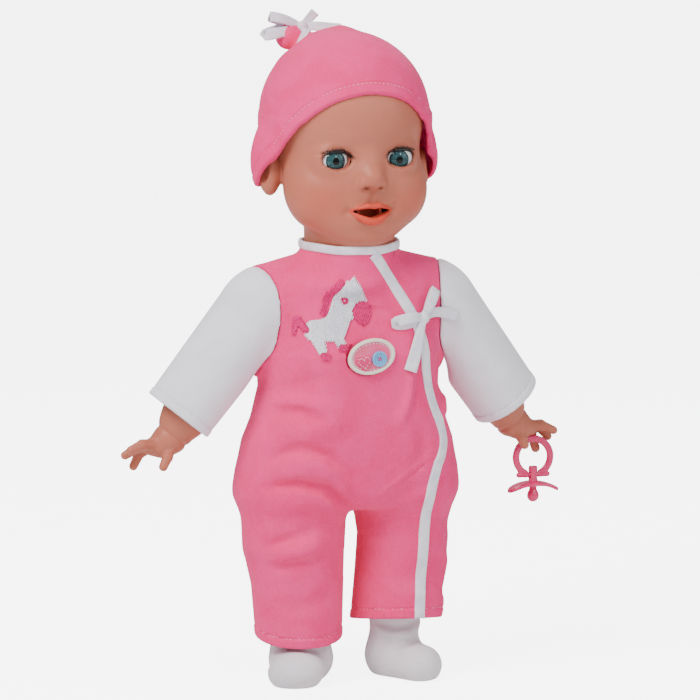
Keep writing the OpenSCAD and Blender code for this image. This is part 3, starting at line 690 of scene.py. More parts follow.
def plant_tree(name, stamp):
    """Puts a copy of the stamp's mesh at every point, its Z along the point's own direction."""
    tree = bpy.data.node_groups.new(name, "GeometryNodeTree")
    tree.interface.new_socket("Geometry", in_out="INPUT", socket_type="NodeSocketGeometry")
    for key in ("Length", "Thickness", "Unevenness"):
        tree.interface.new_socket(key, in_out="INPUT", socket_type="NodeSocketFloat")
    tree.interface.new_socket("Material", in_out="INPUT", socket_type="NodeSocketMaterial")
    tree.interface.new_socket("Geometry", in_out="OUTPUT", socket_type="NodeSocketGeometry")

    def add(kind, **settings):
        node = tree.nodes.new(kind)
        for key, value in settings.items():
            setattr(node, key, value)
        return node

    def link(a, b):
        tree.links.new(a, b)

    source = add("NodeGroupInput")
    way = add("GeometryNodeInputNamedAttribute", data_type="FLOAT_VECTOR")
    way.inputs["Name"].default_value = "way"
    turn = add("FunctionNodeAlignRotationToVector", axis="Z")
    link(way.outputs["Attribute"], turn.inputs["Vector"])
    chance = add("FunctionNodeRandomValue", data_type="FLOAT")
    chance.inputs["Seed"].default_value = 7
    low = add("ShaderNodeMath", operation="SUBTRACT")
    low.inputs[0].default_value = 1.0
    link(source.outputs["Unevenness"], low.inputs[1])
    floats = [i for i in chance.inputs if i.type == "VALUE" and i.name in ("Min", "Max")]
    link(low.outputs[0], floats[0])
    floats[1].default_value = 1.0
    tall = add("ShaderNodeMath", operation="MULTIPLY")
    link(source.outputs["Length"], tall.inputs[0])
    link([o for o in chance.outputs if o.type == "VALUE"][0], tall.inputs[1])
    size = add("ShaderNodeCombineXYZ")
    link(source.outputs["Thickness"], size.inputs[0])
    link(source.outputs["Thickness"], size.inputs[1])
    link(tall.outputs[0], size.inputs[2])
    if stamp == "thread":
        shape = add("GeometryNodeMeshUVSphere")
        shape.inputs["Segments"].default_value = 6
        shape.inputs["Rings"].default_value = 4
        shape.inputs["Radius"].default_value = 0.5
        made = shape.outputs["Mesh"]
    else:
        shape = add("GeometryNodeMeshCone")
        shape.inputs["Vertices"].default_value = 5
        shape.inputs["Radius Top"].default_value = 0.08
        shape.inputs["Radius Bottom"].default_value = 0.5
        shape.inputs["Depth"].default_value = 1.0
        made = shape.outputs["Mesh"]
    plant = add("GeometryNodeInstanceOnPoints")
    link(source.outputs["Geometry"], plant.inputs["Points"])
    link(made, plant.inputs["Instance"])
    link(turn.outputs["Rotation"], plant.inputs["Rotation"])
    link(size.outputs[0], plant.inputs["Scale"])
    real = add("GeometryNodeRealizeInstances")
    link(plant.outputs[0], real.inputs[0])
    smooth = add("GeometryNodeSetShadeSmooth")
    link(real.outputs[0], smooth.inputs[0])
    paint = add("GeometryNodeSetMaterial")
    link(smooth.outputs[0], paint.inputs["Geometry"])
    link(source.outputs["Material"], paint.inputs["Material"])
    sink = add("NodeGroupOutput")
    link(paint.outputs[0], sink.inputs[0])
    return tree


THREAD_TREE = plant_tree("plant_threads", "thread")
HAIR_TREE = plant_tree("plant_hairs", "hair")


def planted(name, tree, points, ways, size, material, unevenness=0.15):
    """A plain mesh of threads or hairs, one at each point (doll's millimetres), lying along its way."""
    data = bpy.data.meshes.new(name + "_points")
    data.from_pydata(place(points), [], [])
    data.attributes.new("way", "FLOAT_VECTOR", "POINT").data.foreach_set(
        "vector", np.asarray(ways, np.float32).ravel()
    )
    seed = bpy.data.objects.new(name, data)
    bpy.context.scene.collection.objects.link(seed)
    modifier = seed.modifiers.new("plant", "NODES")
    modifier.node_group = tree
    for key, value in (
        ("Length", size[0] / 1000), ("Thickness", size[1] / 1000), ("Unevenness", unevenness),
        ("Material", material)
    ):
        modifier[socket_id(tree, key)] = value
    seed.update_tag()
    graph = bpy.context.evaluated_depsgraph_get()
    made = bpy.data.meshes.new_from_object(seed.evaluated_get(graph))
    made.name = name
    seed.modifiers.clear()
    seed.data = made
    print(f"{name}: {len(points)} planted, {len(made.polygons)} faces")
    return seed


# %% Eyes
def globe(centre, radius, around=96, rings=64):
    """Points, faces and normals of a ball with its poles on the left and right."""
    a = np.linspace(0, 2 * np.pi, around, endpoint=False)
    t = np.linspace(0, np.pi, rings + 1)[1:-1]
    n = np.stack(
        (
            np.cos(t)[:, None] * np.ones(around), np.sin(t)[:, None] * np.cos(a),
            np.sin(t)[:, None] * np.sin(a)
        ),
        -1
    )
    n = np.concatenate((n.reshape(-1, 3), [[1, 0, 0], [-1, 0, 0]]))
    k = lambda i, j: i * around + j % around
    faces = [
        (k(i, j), k(i + 1, j), k(i + 1, j + 1), k(i, j + 1))
        for i in range(rings - 2)
        for j in range(around)
    ]
    first, last = len(n) - 2, len(n) - 1
    faces += [(first, k(0, j), k(0, j + 1)) for j in range(around)]
    faces += [(last, k(rings - 2, j + 1), k(rings - 2, j)) for j in range(around)]
    return centre + radius * n, faces, n


def lid_point(turn, rise, radius):
    """A point on a ball round the eye's centre: turn to the side, rise of the plane through the hinge."""
    return np.stack(
        (np.sin(turn), -np.cos(turn) * np.cos(rise), np.cos(turn) * np.sin(rise)), -1
    ) * np.asarray(radius)[..., None]


for side, sign, gaze in (("right", -1, (-0.05, -1.0, 0.0)), ("left", 1, (-0.13, -0.985, -0.06))):
    centre = EYE * (sign, 1, 1)
    points, faces, normals = globe(centre, EYE_BALL)
    ball_finish = eye_finish("eye_" + side, place(centre), gaze)
    eye = mesh_object("eye_" + side + "_ball", points, faces, ball_finish, normals)
    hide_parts("eyeball_" + side)
    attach(eye, "eye_" + side)
    # the strip that holds the lashes
    turn = np.radians(np.linspace(-50, 50, 41))
    taper = np.cos(np.linspace(-np.pi / 2, np.pi / 2, 41)) ** 0.5
    edge = [lid_point(turn, LID_EDGE, 9.5 + 0 * turn), lid_point(turn, LID_EDGE + 0.02, 9.52 + 1.6 * taper)]
    edge += [
        lid_point(turn, LID_EDGE + 0.02 + 0.06 * taper, 9.52 + 1.9 * taper),
        lid_point(turn, LID_EDGE + 0.10, 9.5 + 0 * turn)
    ]
    strip = centre + np.concatenate(edge)
    quads = [
        (m * 41 + k, m * 41 + k + 1, ((m + 1) % 4) * 41 + k + 1, ((m + 1) % 4) * 41 + k)
        for m in range(4)
        for k in range(40)
    ]
    quads += [(0, 41, 82, 123), (163, 122, 81, 40)]
    band = mesh_object("lash_strip_" + side, strip, quads, LASH)
    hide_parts("eyelash_" + side)
    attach(band, "eye_" + side)
    spread = np.radians(np.linspace(-49, 49, 46))
    lift = 0.5 + 0.5 * np.cos(np.linspace(-np.pi / 2, np.pi / 2, 46))
    root = lid_point(spread, LID_EDGE + 0.05, 10.2 + 1.1 * lift)
    way = np.stack(
        (
            0.55 * np.sin(spread) + 0.12 * np.sin(np.arange(46) * 2.4), -0.42 * np.cos(spread),
            0.9 * np.ones(46)
        ),
        -1
    )
    hairs = planted(
        "lashes_" + side, HAIR_TREE, centre + root + unit(way) * 0.8, unit(way), (1.5, 0.40), LASH, 0.3
    )
    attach(hairs, "eye_" + side)

# %% [markdown]
# ## The romper
#
# The romper is one field from neck to hems: a trunk of two upright columns, a roll over the shoulders, two
# trouser legs and two sleeves. Folds are strokes along short curves: a ridge where cloth gathers, a furrow
# where it tucks in. Meshing it in one go and cutting it afterwards keeps every fold running across the
# cuts between the bodice, which stays with the body, and the two trouser legs. The sleeves end in a
# real seam, so they are pieces of their own with a closed edge.


# %% Strokes
def stroke(d, p, points, width, height):
    """A soft ridge along a bent line, or a furrow where height is below zero, fading at both ends."""
    points = np.asarray(points, float)
    around = ((p > points.min(0) - 3 * width) & (p < points.max(0) + 3 * width)).all(1)
    r = p[around]
    far, share = np.full(len(r), 1e9), np.zeros(len(r))
    for k in range(len(points) - 1):
        t, gap = along(r, points[k], points[k + 1])
        nearer = gap < far
        far = np.where(nearer, gap, far)
        share = np.where(nearer, (k + t) / (len(points) - 1), share)
    d = d.copy()
    d[around] -= height * np.exp(-((far / width) ** 2)) * np.sqrt(
        np.maximum(np.sin(np.pi * np.clip(share, 0.03, 0.97)), 0)
    )
    return d


def column(p, levels, half, radius, middle):
    """An upright body with a stadium section whose measures change with height."""
    z = p[:, 2]
    a, r, y = (np.interp(z, levels, v) for v in (half, radius, middle))
    return (np.hypot(np.maximum(np.abs(p[:, 0]) - a, 0), p[:, 1] - y) - r) * 0.93


# %% Romper field
CLOTH = 2.7
SEAM_Z = 128.0
LEVELS = (100, 108, 124, 140, 153, 171, 192, 216, 240)
FRONT_HALF = (28, 28, 27, 23, 19, 16, 17.5, 24, 26)
FRONT_RADIUS = (35, 36, 36.5, 37.5, 37, 35.5, 35, 27, 18)
FRONT_MIDDLE = (3, 3, 1, 0, -1, -1.5, -2, -1, 0)
BACK_HALF = (33, 32.5, 30, 27, 23, 20, 24, 27, 28)
BACK_RADIUS = (33, 34, 34, 33.5, 32, 31, 29, 25, 18)
BACK_MIDDLE = (8, 8, 8, 8, 8, 7, 5, 3, 2)
RIGHT_LEG = [(-33, 3, 110), (-33.6, 1.5, 82), (-31.4, 1.5, 60), (-30, 2, 20)]
RIGHT_LEG_R = (31, 29.6, 26.8, 24.6)
LEFT_LEG = [(33, 3, 110), (33.6, 1.5, 84), (31, 2, 60), (28.6, 2, 20)]
LEFT_LEG_R = (29.5, 26.6, 25.6, 26.8)
SLEEVE_TOP, SLEEVE_END = np.array([56.0, 3, 215]), np.array([100.4, 10.5, 156.6])
SLEEVE_WAY = (SLEEVE_END - SLEEVE_TOP) / np.linalg.norm(SLEEVE_END - SLEEVE_TOP)

# each fold is its points, its width and its height
FOLDS = [
    # folds that run in from the right armpit, and the dart of shade below them
    ([(-54, -16, 172), (-42, -31, 176), (-28, -37, 180)], 3.2, -0.9),
    ([(-55, -14, 166), (-40, -32, 166), (-22, -38, 163)], 3.6, 0.9),
    ([(-56, -14, 158), (-42, -32, 160), (-24, -38, 152)], 3.4, -0.9),
    # the belly's soft swell above the thigh
    ([(-56, -16, 146), (-38, -34, 150), (-18, -39, 156)], 6, 1.2),
    # the two arches over the right thigh that meet at the crotch
    ([(-54, -22, 134), (-42, -33, 140), (-26, -37, 135), (-12, -36, 120), (-4, -33, 106)], 3.0, -1.7),
    ([(-50, -25, 127), (-36, -33, 131), (-22, -35, 126), (-10, -34, 112)], 4.5, 1.8),
    ([(-56, -20, 116), (-42, -30, 120), (-26, -33, 116), (-12, -30, 103), (-5, -28, 99)], 3.0, -1.8),
    ([(-52, -22, 106), (-38, -30, 110), (-24, -31, 106), (-12, -28, 96)], 4.5, 1.2),
    # knee folds and the slack below
    ([(-55, -16, 82), (-42, -27, 88), (-28, -29, 94)], 3.2, -1.5),
    ([(-54, -18, 76), (-40, -28, 80), (-24, -29, 84)], 4, 1.3),
    ([(-53, -16, 70), (-40, -27, 72), (-24, -28, 76)], 3.0, -0.9),
    ([(-48, -18, 46), (-34, -26, 48), (-18, -23, 53)], 4.5, -0.8),
    # left leg
    ([(12, -30, 106), (20, -32, 112), (34, -30, 116)], 4, -0.8),
    ([(14, -26, 84), (26, -29, 88), (38, -27, 86)], 5, -0.8),
    ([(16, -26, 62), (28, -28, 60), (40, -24, 64)], 5, -0.8),
    ([(50, -16, 74), (54, -8, 66), (50, -14, 52)], 3.6, 1.2),
    ([(50, -20, 96), (57, -8, 88), (54, -14, 78)], 4, -1.2),
    ([(46, -20, 50), (52, -10, 44), (50, -14, 36)], 3, 1.0),
    # left of the binding: armpit creases and the folds that the bow pulls in
    ([(52, -14, 190), (47, -24, 184), (44, -29, 176)], 2.6, -1.2),
    ([(55, -12, 178), (50, -22, 172), (46, -29, 164)], 2.6, -1.2),
    ([(56, -10, 168), (53, -20, 160), (49, -28, 152)], 3.0, 1.0),
    ([(26, -37, 180), (24, -38, 166), (17, -39, 152)], 3.0, 1.0),
    ([(31, -36, 188), (29, -37.5, 172), (23, -38.5, 156)], 2.4, -1.0),
    ([(30, -37, 150), (33, -36, 138), (28, -36, 124)], 4.0, -0.8),
    ([(38, -31, 226), (44, -27, 214), (44, -28, 206)], 3.0, -0.8),
    # across the chest under the collar
    ([(-28, -24, 234), (-10, -30, 230), (14, -29, 232)], 4.5, 0.9),
    ([(-34, -24, 226), (-14, -32, 223), (12, -32, 226)], 4.0, -0.7),
    # back: soft folds towards the seat
    ([(-34, 36, 176), (-14, 41, 168), (12, 41, 170)], 5, -0.8),
    ([(-44, 34, 140), (-20, 42, 132), (8, 43, 136)], 5, 0.9),
    ([(46, 32, 150), (24, 40, 146), (2, 42, 150)], 4.5, -0.8),
    ([(-40, 34, 112), (-24, 36, 104), (-8, 32, 100)], 4, -1.2),
    ([(40, 34, 112), (24, 36, 104), (8, 32, 100)], 4, -1.2),
]
FLAP_EDGE = np.array([(46, -29, 139), (38, -32, 132), (26, -34.5, 124), (14, -35.5, 115), (3, -34, 106)])
SIDE_SEAM = np.array(
    [
        (-52, 0, 172), (-54.5, -4, 150), (-58.5, -6, 130), (-60, -8, 108), (-59.5, -9, 90), (-55, -10, 66),
        (-51, -10, 32)
    ]
)


BADGE = np.array([-0.4, -37.2, 192.0])
BADGE_TILT = math.radians(10)


def on_badge(p):
    """Along the badge, across it, and out from the cloth."""
    q = p - BADGE
    c, k = math.cos(BADGE_TILT), math.sin(BADGE_TILT)
    return q[:, 0] * c + q[:, 2] * k, q[:, 2] * c - q[:, 0] * k, -q[:, 1]


def badge_oval(u, w):
    r = np.hypot(u / 14.3, w / 10.2)
    return (r - 1) * 12.0 * (0.86 + 0.14 * np.abs(u) / 14.3)


def arm_seam(p):
    """How far beyond the armhole's seam a point lies. The seam swings out towards the armpit."""
    seam = 54 + 0.28 * p[:, 1] + 8 * (1 - step(172, 200, p[:, 2])) + 12 * (1 - step(148, 166, p[:, 2]))
    return (np.abs(p[:, 0]) - seam) * 0.96


def sleeve_form(q):
    t, d = along(q, SLEEVE_TOP, SLEEVE_END + 20 * SLEEVE_WAY)
    return d - (22.5 - 2.2 * t)


def trouser_form(p):
    return join(chain(p, RIGHT_LEG, RIGHT_LEG_R), chain(p, LEFT_LEG, LEFT_LEG_R), 1.5)


def body_form(p, sleeves=True):
    """Trunk, shoulders, sleeves and trousers together, without folds."""
    q = mirrored(p)
    trunk = join(
        column(p, LEVELS, FRONT_HALF, FRONT_RADIUS, FRONT_MIDDLE),
        column(p, LEVELS, BACK_HALF, BACK_RADIUS, BACK_MIDDLE), 6
    )
    trunk = carve(carve(trunk, 234 - p[:, 2], 14), p[:, 2] - 101, 14)
    d = join(trunk, limb(q, (18, 1, 226), (48, 3, 221), 24.5, 21.8), 7)
    collar = np.maximum(np.hypot(p[:, 0], p[:, 1]) - 28, np.abs(p[:, 2] - 236) - 15.5)
    d = join(d, collar, 5)
    if sleeves:
        d = join(d, sleeve_form(q), 7)
    return join(d, trouser_form(p), 8)


# FOLDS gives each width and height as drawn; the cloth takes them this much wider and deeper
FOLD_WIDTH = 1.15
BODICE_FOLD_DEPTH = 3.0
LEG_FOLD_DEPTH = 2.3
CROTCH_Z = 106


def cloth_form(p, d=None):
    """The body with its folds, drawn only near the surface."""
    d = body_form(p) if d is None else d
    near = np.abs(d) < 7
    r, f = p[near], d[near]
    for points, width, height in FOLDS:
        deep = BODICE_FOLD_DEPTH if np.mean(points, axis=0)[2] > CROTCH_Z else LEG_FOLD_DEPTH
        f = stroke(f, r, points, FOLD_WIDTH * width, deep * height)
    # the right panel laps over the left: its free lower edge stands up and throws a line of shade
    f = stroke(f, r, FLAP_EDGE + np.array([-0.6, 0, 1.6]), 1.7, 0.9)
    f = stroke(f, r, FLAP_EDGE + np.array([0.3, 0, -0.9]), 1.0, -1.1)
    f = stroke(f, r, SIDE_SEAM, 0.8, -0.8)
    f = stroke(f, r, SIDE_SEAM * np.array([-1, 1, 1]), 0.8, -0.8)
    # the dip where the armhole is sewn
    f = f + 0.55 * np.exp(-((arm_seam(r) / 1.1) ** 2)) * (r[:, 2] > 160)
    d = d.copy()
    d[near] = f
    return d


def hem_level(p):
    """Height of the trouser hems: the right one dips at the front, the left one behind."""
    return np.where(
        p[:, 0] < 0, 27 + 0.2 * p[:, 1] + 0.05 * (p[:, 0] + 30), 34 - 0.12 * p[:, 1] - 0.03 * (p[:, 0] - 30)
    )


HEM = 5.7


def hem_roll(d, up):
    """A turned hem: fuller below its row of stitches, pinched on it. up is the height above the edge."""
    d = d - 0.35 * (1 - step(HEM - 1.2, HEM + 0.2, up)) * (up > -3)
    return d + 0.55 * np.exp(-(((up - HEM) / 0.6) ** 2))


def bodice_field(p):
    """Bodice and trousers: solid down to the crotch, open and hollow below it."""
    smooth = body_form(p)
    d = cloth_form(p, smooth)
    up = p[:, 2] - hem_level(p)
    wall = smooth + CLOTH + 2.2 * step(7, 16, up)
    low = p[:, 2] < 60
    d[low] = hem_roll(d[low], up[low])
    d = np.maximum(d, arm_seam(p) + 0.25)
    side = (p[:, 2] < 190) & (p[:, 2] > 138) & (np.abs(p[:, 0]) > 44) & (d < 3)
    d[side] = np.maximum(d[side], body_form(p[side], False) - 2.6)
    u, w, h = on_badge(p)
    d = np.maximum(d, -np.maximum(badge_oval(u, w) - 0.4, -h - 3.5))
    d = carve(d, np.maximum(wall, p[:, 2] - 98), 0.6)
    d = carve(d, up, 1.0)
    # neck opening
    return np.maximum(d, -np.maximum(np.hypot(p[:, 0], p[:, 1]) - 26.4, 244 - p[:, 2]))


def sleeve_field(p):
    """Both sleeves: closed at the armhole's seam, hollow towards the cuff."""
    q = mirrored(p)
    smooth = body_form(p)
    d = cloth_form(p, smooth)
    up = (SLEEVE_END - q) @ SLEEVE_WAY + 0.07 * (q[:, 2] - SLEEVE_END[2]) - 0.07 * (q[:, 0] - SLEEVE_END[0])
    d = hem_roll(d, up)
    d = np.maximum(d, 0.25 - arm_seam(p))
    d = np.maximum(d, sleeve_form(q) - 3.5)
    trimmed = np.maximum(smooth, np.maximum(0.25 - arm_seam(p), sleeve_form(q) - 3.5))
    wall = trimmed + CLOTH + 1.6 * step(7, 16, up)
    d = carve(d, np.maximum(wall, up - 52), 0.6)
    return carve(d, up, 1.0)


# %% Cut the romper and hang the bodice on the body
def cut_mesh(points, faces, planes):
    """Cuts a mesh along planes, each a point and a direction. Returns its points and faces."""
    b = bmesh.new()
    data = bpy.data.meshes.new("cutting")
    data.from_pydata(points, [], faces.tolist())
    b.from_mesh(data)
    for at_point, direction in planes:
        everything = b.verts[:] + b.edges[:] + b.faces[:]
        bmesh.ops.bisect_plane(b, geom=everything, dist=1e-4, plane_co=at_point, plane_no=direction)
    b.to_mesh(data)
    b.free()
    where = np.empty(len(data.vertices) * 3)
    data.vertices.foreach_get("co", where)
    polygons = [tuple(f.vertices) for f in data.polygons]
    bpy.data.meshes.remove(data)
    return where.reshape(-1, 3), polygons


def keep(points, faces, wanted):
    """The faces whose middle the test keeps, with their own points only."""
    middles = np.array([points[list(f)].mean(0) for f in faces])
    chosen = [f for f, good in zip(faces, wanted(middles)) if good]
    used = np.unique(np.concatenate([np.array(f) for f in chosen]))
    number = -np.ones(len(points), int)
    number[used] = np.arange(len(used))
    return points[used], [tuple(int(number[v]) for v in f) for f in chosen]


def from_field(name, field, points, faces, material):
    return mesh_object(name, points, faces, material, unit(slope(field, points)))


points, faces = net(bodice_field, (-76, -52, 20), (76, 58, 256), 1.2)
points, faces = cut_mesh(points, faces, [((0, 0, SEAM_Z), (0, 0, 1)), ((0, 0, 0), (1, 0, 0))])
bodice = from_field("bodice", bodice_field, *keep(points, faces, lambda m: m[:, 2] > SEAM_Z), PINK_VELOUR)
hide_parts("romper_body")
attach(bodice, "body")
trousers = {}
for side, sign in (("right", -1), ("left", 1)):
    part = keep(points, faces, lambda m: (m[:, 2] < SEAM_Z) & (m[:, 0] * sign > 0))
    leg = from_field("trousers_" + side, bodice_field, *part, PINK_VELOUR)
    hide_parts("pant_leg_" + side)
    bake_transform(leg)
    trousers[side] = leg
points, faces = net(sleeve_field, (-126, -24, 134), (126, 42, 250), 1.2)
faces = [tuple(f) for f in faces.tolist()]
for side, sign in (("right", -1), ("left", 1)):
    part = keep(points, faces, lambda m: m[:, 0] * sign > 0)
    sleeve = from_field("sleeve_" + side + "_cloth", sleeve_field, *part, WHITE_VELOUR)
    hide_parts("sleeve_" + side)
    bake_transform(sleeve)
print("romper made")

# %% [markdown]
# ## The stuffed body under the clothes
#
# The cloth body is stuffed, so it is a padded form: the same fields as the clothes, set a few millimetres
# inwards. Its pocket for the sound module stays open at the back, under a flap.


# %% Stuffed body, arms and legs
def calico(name):
    """Plain woven body cloth."""
    material, add, shader, tree = finish(name, 0.85, Sheen_Weight=0.1, Specular_IOR_Level=0.15)
    where = add("ShaderNodeTexCoord").outputs["Object"]
    warp = add("ShaderNodeTexWave", {"bands_direction": "X"}, Vector=where, Scale=600.0, Distortion=0.4)
    weft = add("ShaderNodeTexWave", {"bands_direction": "Z"}, Vector=where, Scale=600.0, Distortion=0.4)
    weave = add("ShaderNodeMath", {"operation": "MULTIPLY"}, i0=warp.outputs["Fac"], i1=weft.outputs["Fac"])
    colour = blend_colour(
        add, remap(add, noise(add, 60, 3), 0.35, 0.65), (0.72, 0.58, 0.44, 1), (0.80, 0.67, 0.53, 1)
    )
    tree.links.new(colour, shader.inputs["Base Color"])
    bump = add("ShaderNodeBump", Strength=0.3, Distance=0.0002, Height=weave.outputs[0])
    tree.links.new(bump.outputs[0], shader.inputs["Normal"])
    return material


CALICO = calico("calico")


def torso_field(p):
    d = body_form(p) + 3.4
    d = np.maximum(d, (np.abs(p[:, 0]) - 51) * 0.96)
    d = np.maximum(d, p[:, 2] - 241)
    d = carve(d, p[:, 2] - 118, 4)
    for sign in (-1, 1):
        d = carve(d, ball(p, (30 * sign, 0, 112), 25), 2)
        d = carve(d, limb(p, (30 * sign, 0, 112), (30 * sign, -60, 106), 22, 22), 2)
    pocket = np.maximum(np.abs(p[:, 0]) - 28, np.maximum(np.abs(p[:, 2] - 184) - 28, -11 - p[:, 1]))
    d = np.maximum(d, -pocket)
    d = np.maximum(d, -np.maximum(np.hypot(p[:, 0] / 1.3, p[:, 2] - 192) - 11, p[:, 1] + 11))
    return np.maximum(d, -np.maximum(np.hypot(p[:, 0], p[:, 1]) - 19, 236 - p[:, 2]))


def flap_field(p):
    pad = np.maximum(np.abs(p[:, 0]) - 27.2, np.maximum(np.abs(p[:, 2] - 184) - 27.2, 17.5 - p[:, 1]))
    return -join(-pad, -(body_form(p) + 3.4), 2.0)


for name, field, low, high, node in (
    ("stuffed_torso", torso_field, (-56, -44, 104), (56, 48, 246), "torso"),
    ("stuffed_flap", flap_field, (-32, 12, 152), (32, 48, 216), "pocket_flap"),
):
    pad = sculpt(name, field, low, high, 2.2, CALICO)
    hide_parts(node)
    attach(pad, "body")


def thigh_field(p):
    return limb(p, (30, 0, 111), (29, 1.5, 64), 19.5, 14.2)


def arm_field(p):
    arm = limb(p, SLEEVE_TOP + 9 * SLEEVE_WAY - [0, 0, 1], SLEEVE_TOP + 46 * SLEEVE_WAY - [1, 0, 2], 10, 11.6)
    return np.maximum(arm, 54.4 - p[:, 0])


for side, sign in (("right", -1), ("left", 1)):
    for kind, field, low, high, node in (
        ("thigh", thigh_field, (8, -24, 46), (54, 24, 134), "thigh_" + side),
        ("arm", arm_field, (50, -20, 156), (104, 30, 236), "upper_arm_" + side),
    ):
        points, faces = net(field, low, high, 2.0)
        normals = unit(slope(field, points)) * (sign, 1, 1)
        pad = mesh_object(f"stuffed_{kind}_{side}", points * (sign, 1, 1), faces[:, ::sign], CALICO, normals)
        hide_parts(node)
        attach(pad, ("leg_" if kind == "thigh" else "arm_") + side)

# %% [markdown]
# ## The hat
#
# The hat is a shell of the same field kind: a dome that widens over the ears, a rolled hem, and a topknot
# gathered in a ribbon. Its hem lies in one steep plane at the sides and level behind, as a hat cut round
# the face does. Folds fan out from the knot.


# %% Hat field
HEAD_MIDDLE = np.array([0, 7.0, 325])
HAT_TILT = math.radians(30)
PLUSH = 2.6


def on_hat(x, y, z):
    """A place on the hat's own axes, in the doll's millimetres."""
    c, k = math.cos(HAT_TILT), math.sin(HAT_TILT)
    return HEAD_MIDDLE + np.array([x, y * c + z * k, z * c - y * k])


KNOT = on_hat(-11, 4, 48)
KNOT_TIP = on_hat(-21, 6, 55)


def hat_rise(p):
    """Height above the hem: steep from the ear to the forehead, level behind."""
    front = (p[:, 2] - 296.8 + 1.2 * p[:, 1]) / math.hypot(1, 1.2)
    return join(front, p[:, 2] - 285.5, 6)


def hat_dome(q):
    d = egg(q, (0, 8.5, 326), (48.8, 50.5, 48.6))
    low = limb(q, (0, 7, 318), (0, 2, 292), 49.0, 48.2)
    low = np.maximum(low, q[:, 2] - 326)
    d = join(d, low, 4)
    return join(d, egg(q, (47.5, 8.5, 301), (8.4, 13, 19)), 7)


def hat_field(p):
    q = mirrored(p)
    d = hat_dome(q)
    inner = d + PLUSH
    near = d < 9
    r, f = p[near], d[near]
    # the gathered topknot, pinched where the ribbon goes round
    knot = limb(r, on_hat(0, -2, 40), KNOT, 15, 6.2)
    f = join(f, knot, 9)
    for k in range(11):
        turn = k * 2 * math.pi / 11
        axis = unit(KNOT - HEAD_MIDDLE)
        side = unit(np.cross(axis, [0, 0.2, 1.0]))
        out = math.cos(turn) * side + math.sin(turn) * np.cross(axis, side)
        reach = 22 + 14 * ((k * 5) % 3) / 2
        path = [KNOT + 3 * out - 2 * axis]
        for share in (0.4, 1.0):
            path.append(
                HEAD_MIDDLE + (np.array([48.8, 50.5, 48.6]) * unit(axis * 50 + out * (6 + reach * share)))
            )
        f = stroke(f, r, path, 2.6, (-1.2, 0.9)[k % 2])
    # soft slack towards the hem at the sides
    for fold in HAT_FOLDS:
        f = stroke(f, r, *fold)
    d = d.copy()
    d[near] = f
    tip = join(
        limb(p, KNOT + (KNOT_TIP - KNOT) * 0.45, KNOT_TIP, 5, 7.5), ball(p, KNOT_TIP + (-2, 0, -1), 7), 3
    )
    d = join(d, tip, 2)
    up = hat_rise(p)
    d = hem_roll(d, up)
    d = carve(d, inner, 0.3)
    return carve(d, up, 1.1)


HAT_FOLDS = [
    ([(-50, 2, 328), (-52, 4, 314), (-53, 4, 300)], 3.0, -1.0),
    ([(-47, -14, 336), (-50, -8, 322), (-52, -1, 308)], 2.6, 1.0),
    ([(-42, -20, 342), (-46, -15, 328), (-49, -7, 314)], 2.6, -0.9),
    ([(-30, -32, 348), (-38, -27, 340), (-44, -18, 328)], 3.0, 0.8),
    ([(50, 4, 326), (52, 5, 312), (53, 4, 300)], 3.0, -0.9),
    ([(46, -12, 334), (49, -6, 322), (51, 0, 308)], 2.6, 0.8),
    ([(-10, 58, 332), (-4, 58, 318), (2, 54, 300)], 4.0, -0.8),
    ([(24, 52, 334), (22, 53, 316), (18, 50, 300)], 4.0, 0.8),
]

hat = sculpt("hat_plush", hat_field, (-64, -50, 280), (64, 66, 392), 1.2, PINK_VELOUR)
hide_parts("hat_crown", "hat_topknot")
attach(hat, "hat")

# %% [markdown]
# ## Ribbons, bindings and stitches
#
# A ribbon is a row of cross-sections joined into a closed band: a flat lens for satin ribbon, a fuller one
# for the folded bias tape. Tape that is sewn down finds the cloth below every point of its section, so it
# rides over the folds. Stitches are threads planted along lines by Geometry Nodes.


# %% Bands that lie on the cloth
def front_of(x, z):
    """The Y of the clothes' front surface behind each X and Z."""
    x, z = np.broadcast_arrays(np.asarray(x, float), np.asarray(z, float))
    p = np.stack((x.ravel(), np.full(x.size, -58.0), z.ravel()), -1)
    for _ in range(26):
        p[:, 1] += 0.85 * cloth_form(p)
    return p[:, 1].reshape(x.shape)


def resample(points, step_length, smooth=True):
    """Evenly spaced points along a rounded path."""
    points = np.asarray(points, float)
    if smooth:
        for _ in range(3):
            middle = 0.75 * points[:-1] + 0.25 * points[1:]
            later = 0.25 * points[:-1] + 0.75 * points[1:]
            points = np.concatenate(
                (points[:1], np.stack((middle, later), 1).reshape(-1, points.shape[1]), points[-1:])
            )
    run = np.concatenate(([0], np.cumsum(length(np.diff(points, axis=0)))))
    at = np.linspace(0, run[-1], max(int(run[-1] / step_length), 2) + 1)
    return np.stack([np.interp(at, run, points[:, k]) for k in range(points.shape[1])], -1)


def band_mesh(name, rings, material, closed=False):
    """A closed band from its cross-sections, each a loop of points in the same order."""
    n, m = rings.shape[:2]
    faces = []
    for i in range(n if closed else n - 1):
        j = (i + 1) % n
        faces += [(i * m + k, i * m + (k + 1) % m, j * m + (k + 1) % m, j * m + k) for k in range(m)]
    if not closed:
        faces += [tuple(range(m))[::-1], tuple((n - 1) * m + k for k in range(m))]
    obj = mesh_object(name, rings.reshape(-1, 3), faces, material)
    b = bmesh.new()
    b.from_mesh(obj.data)
    bmesh.ops.recalc_face_normals(b, faces=b.faces)
    b.to_mesh(obj.data)
    b.free()
    return obj


TAPE_PROFILE = [
    (-1, -0.2), (-0.97, 0.7), (-0.86, 1.15), (-0.5, 1.3), (0, 1.3), (0.5, 1.3), (0.86, 1.15), (0.97, 0.7),
    (1, -0.2), (0.8, -0.9), (-0.8, -0.9)
]


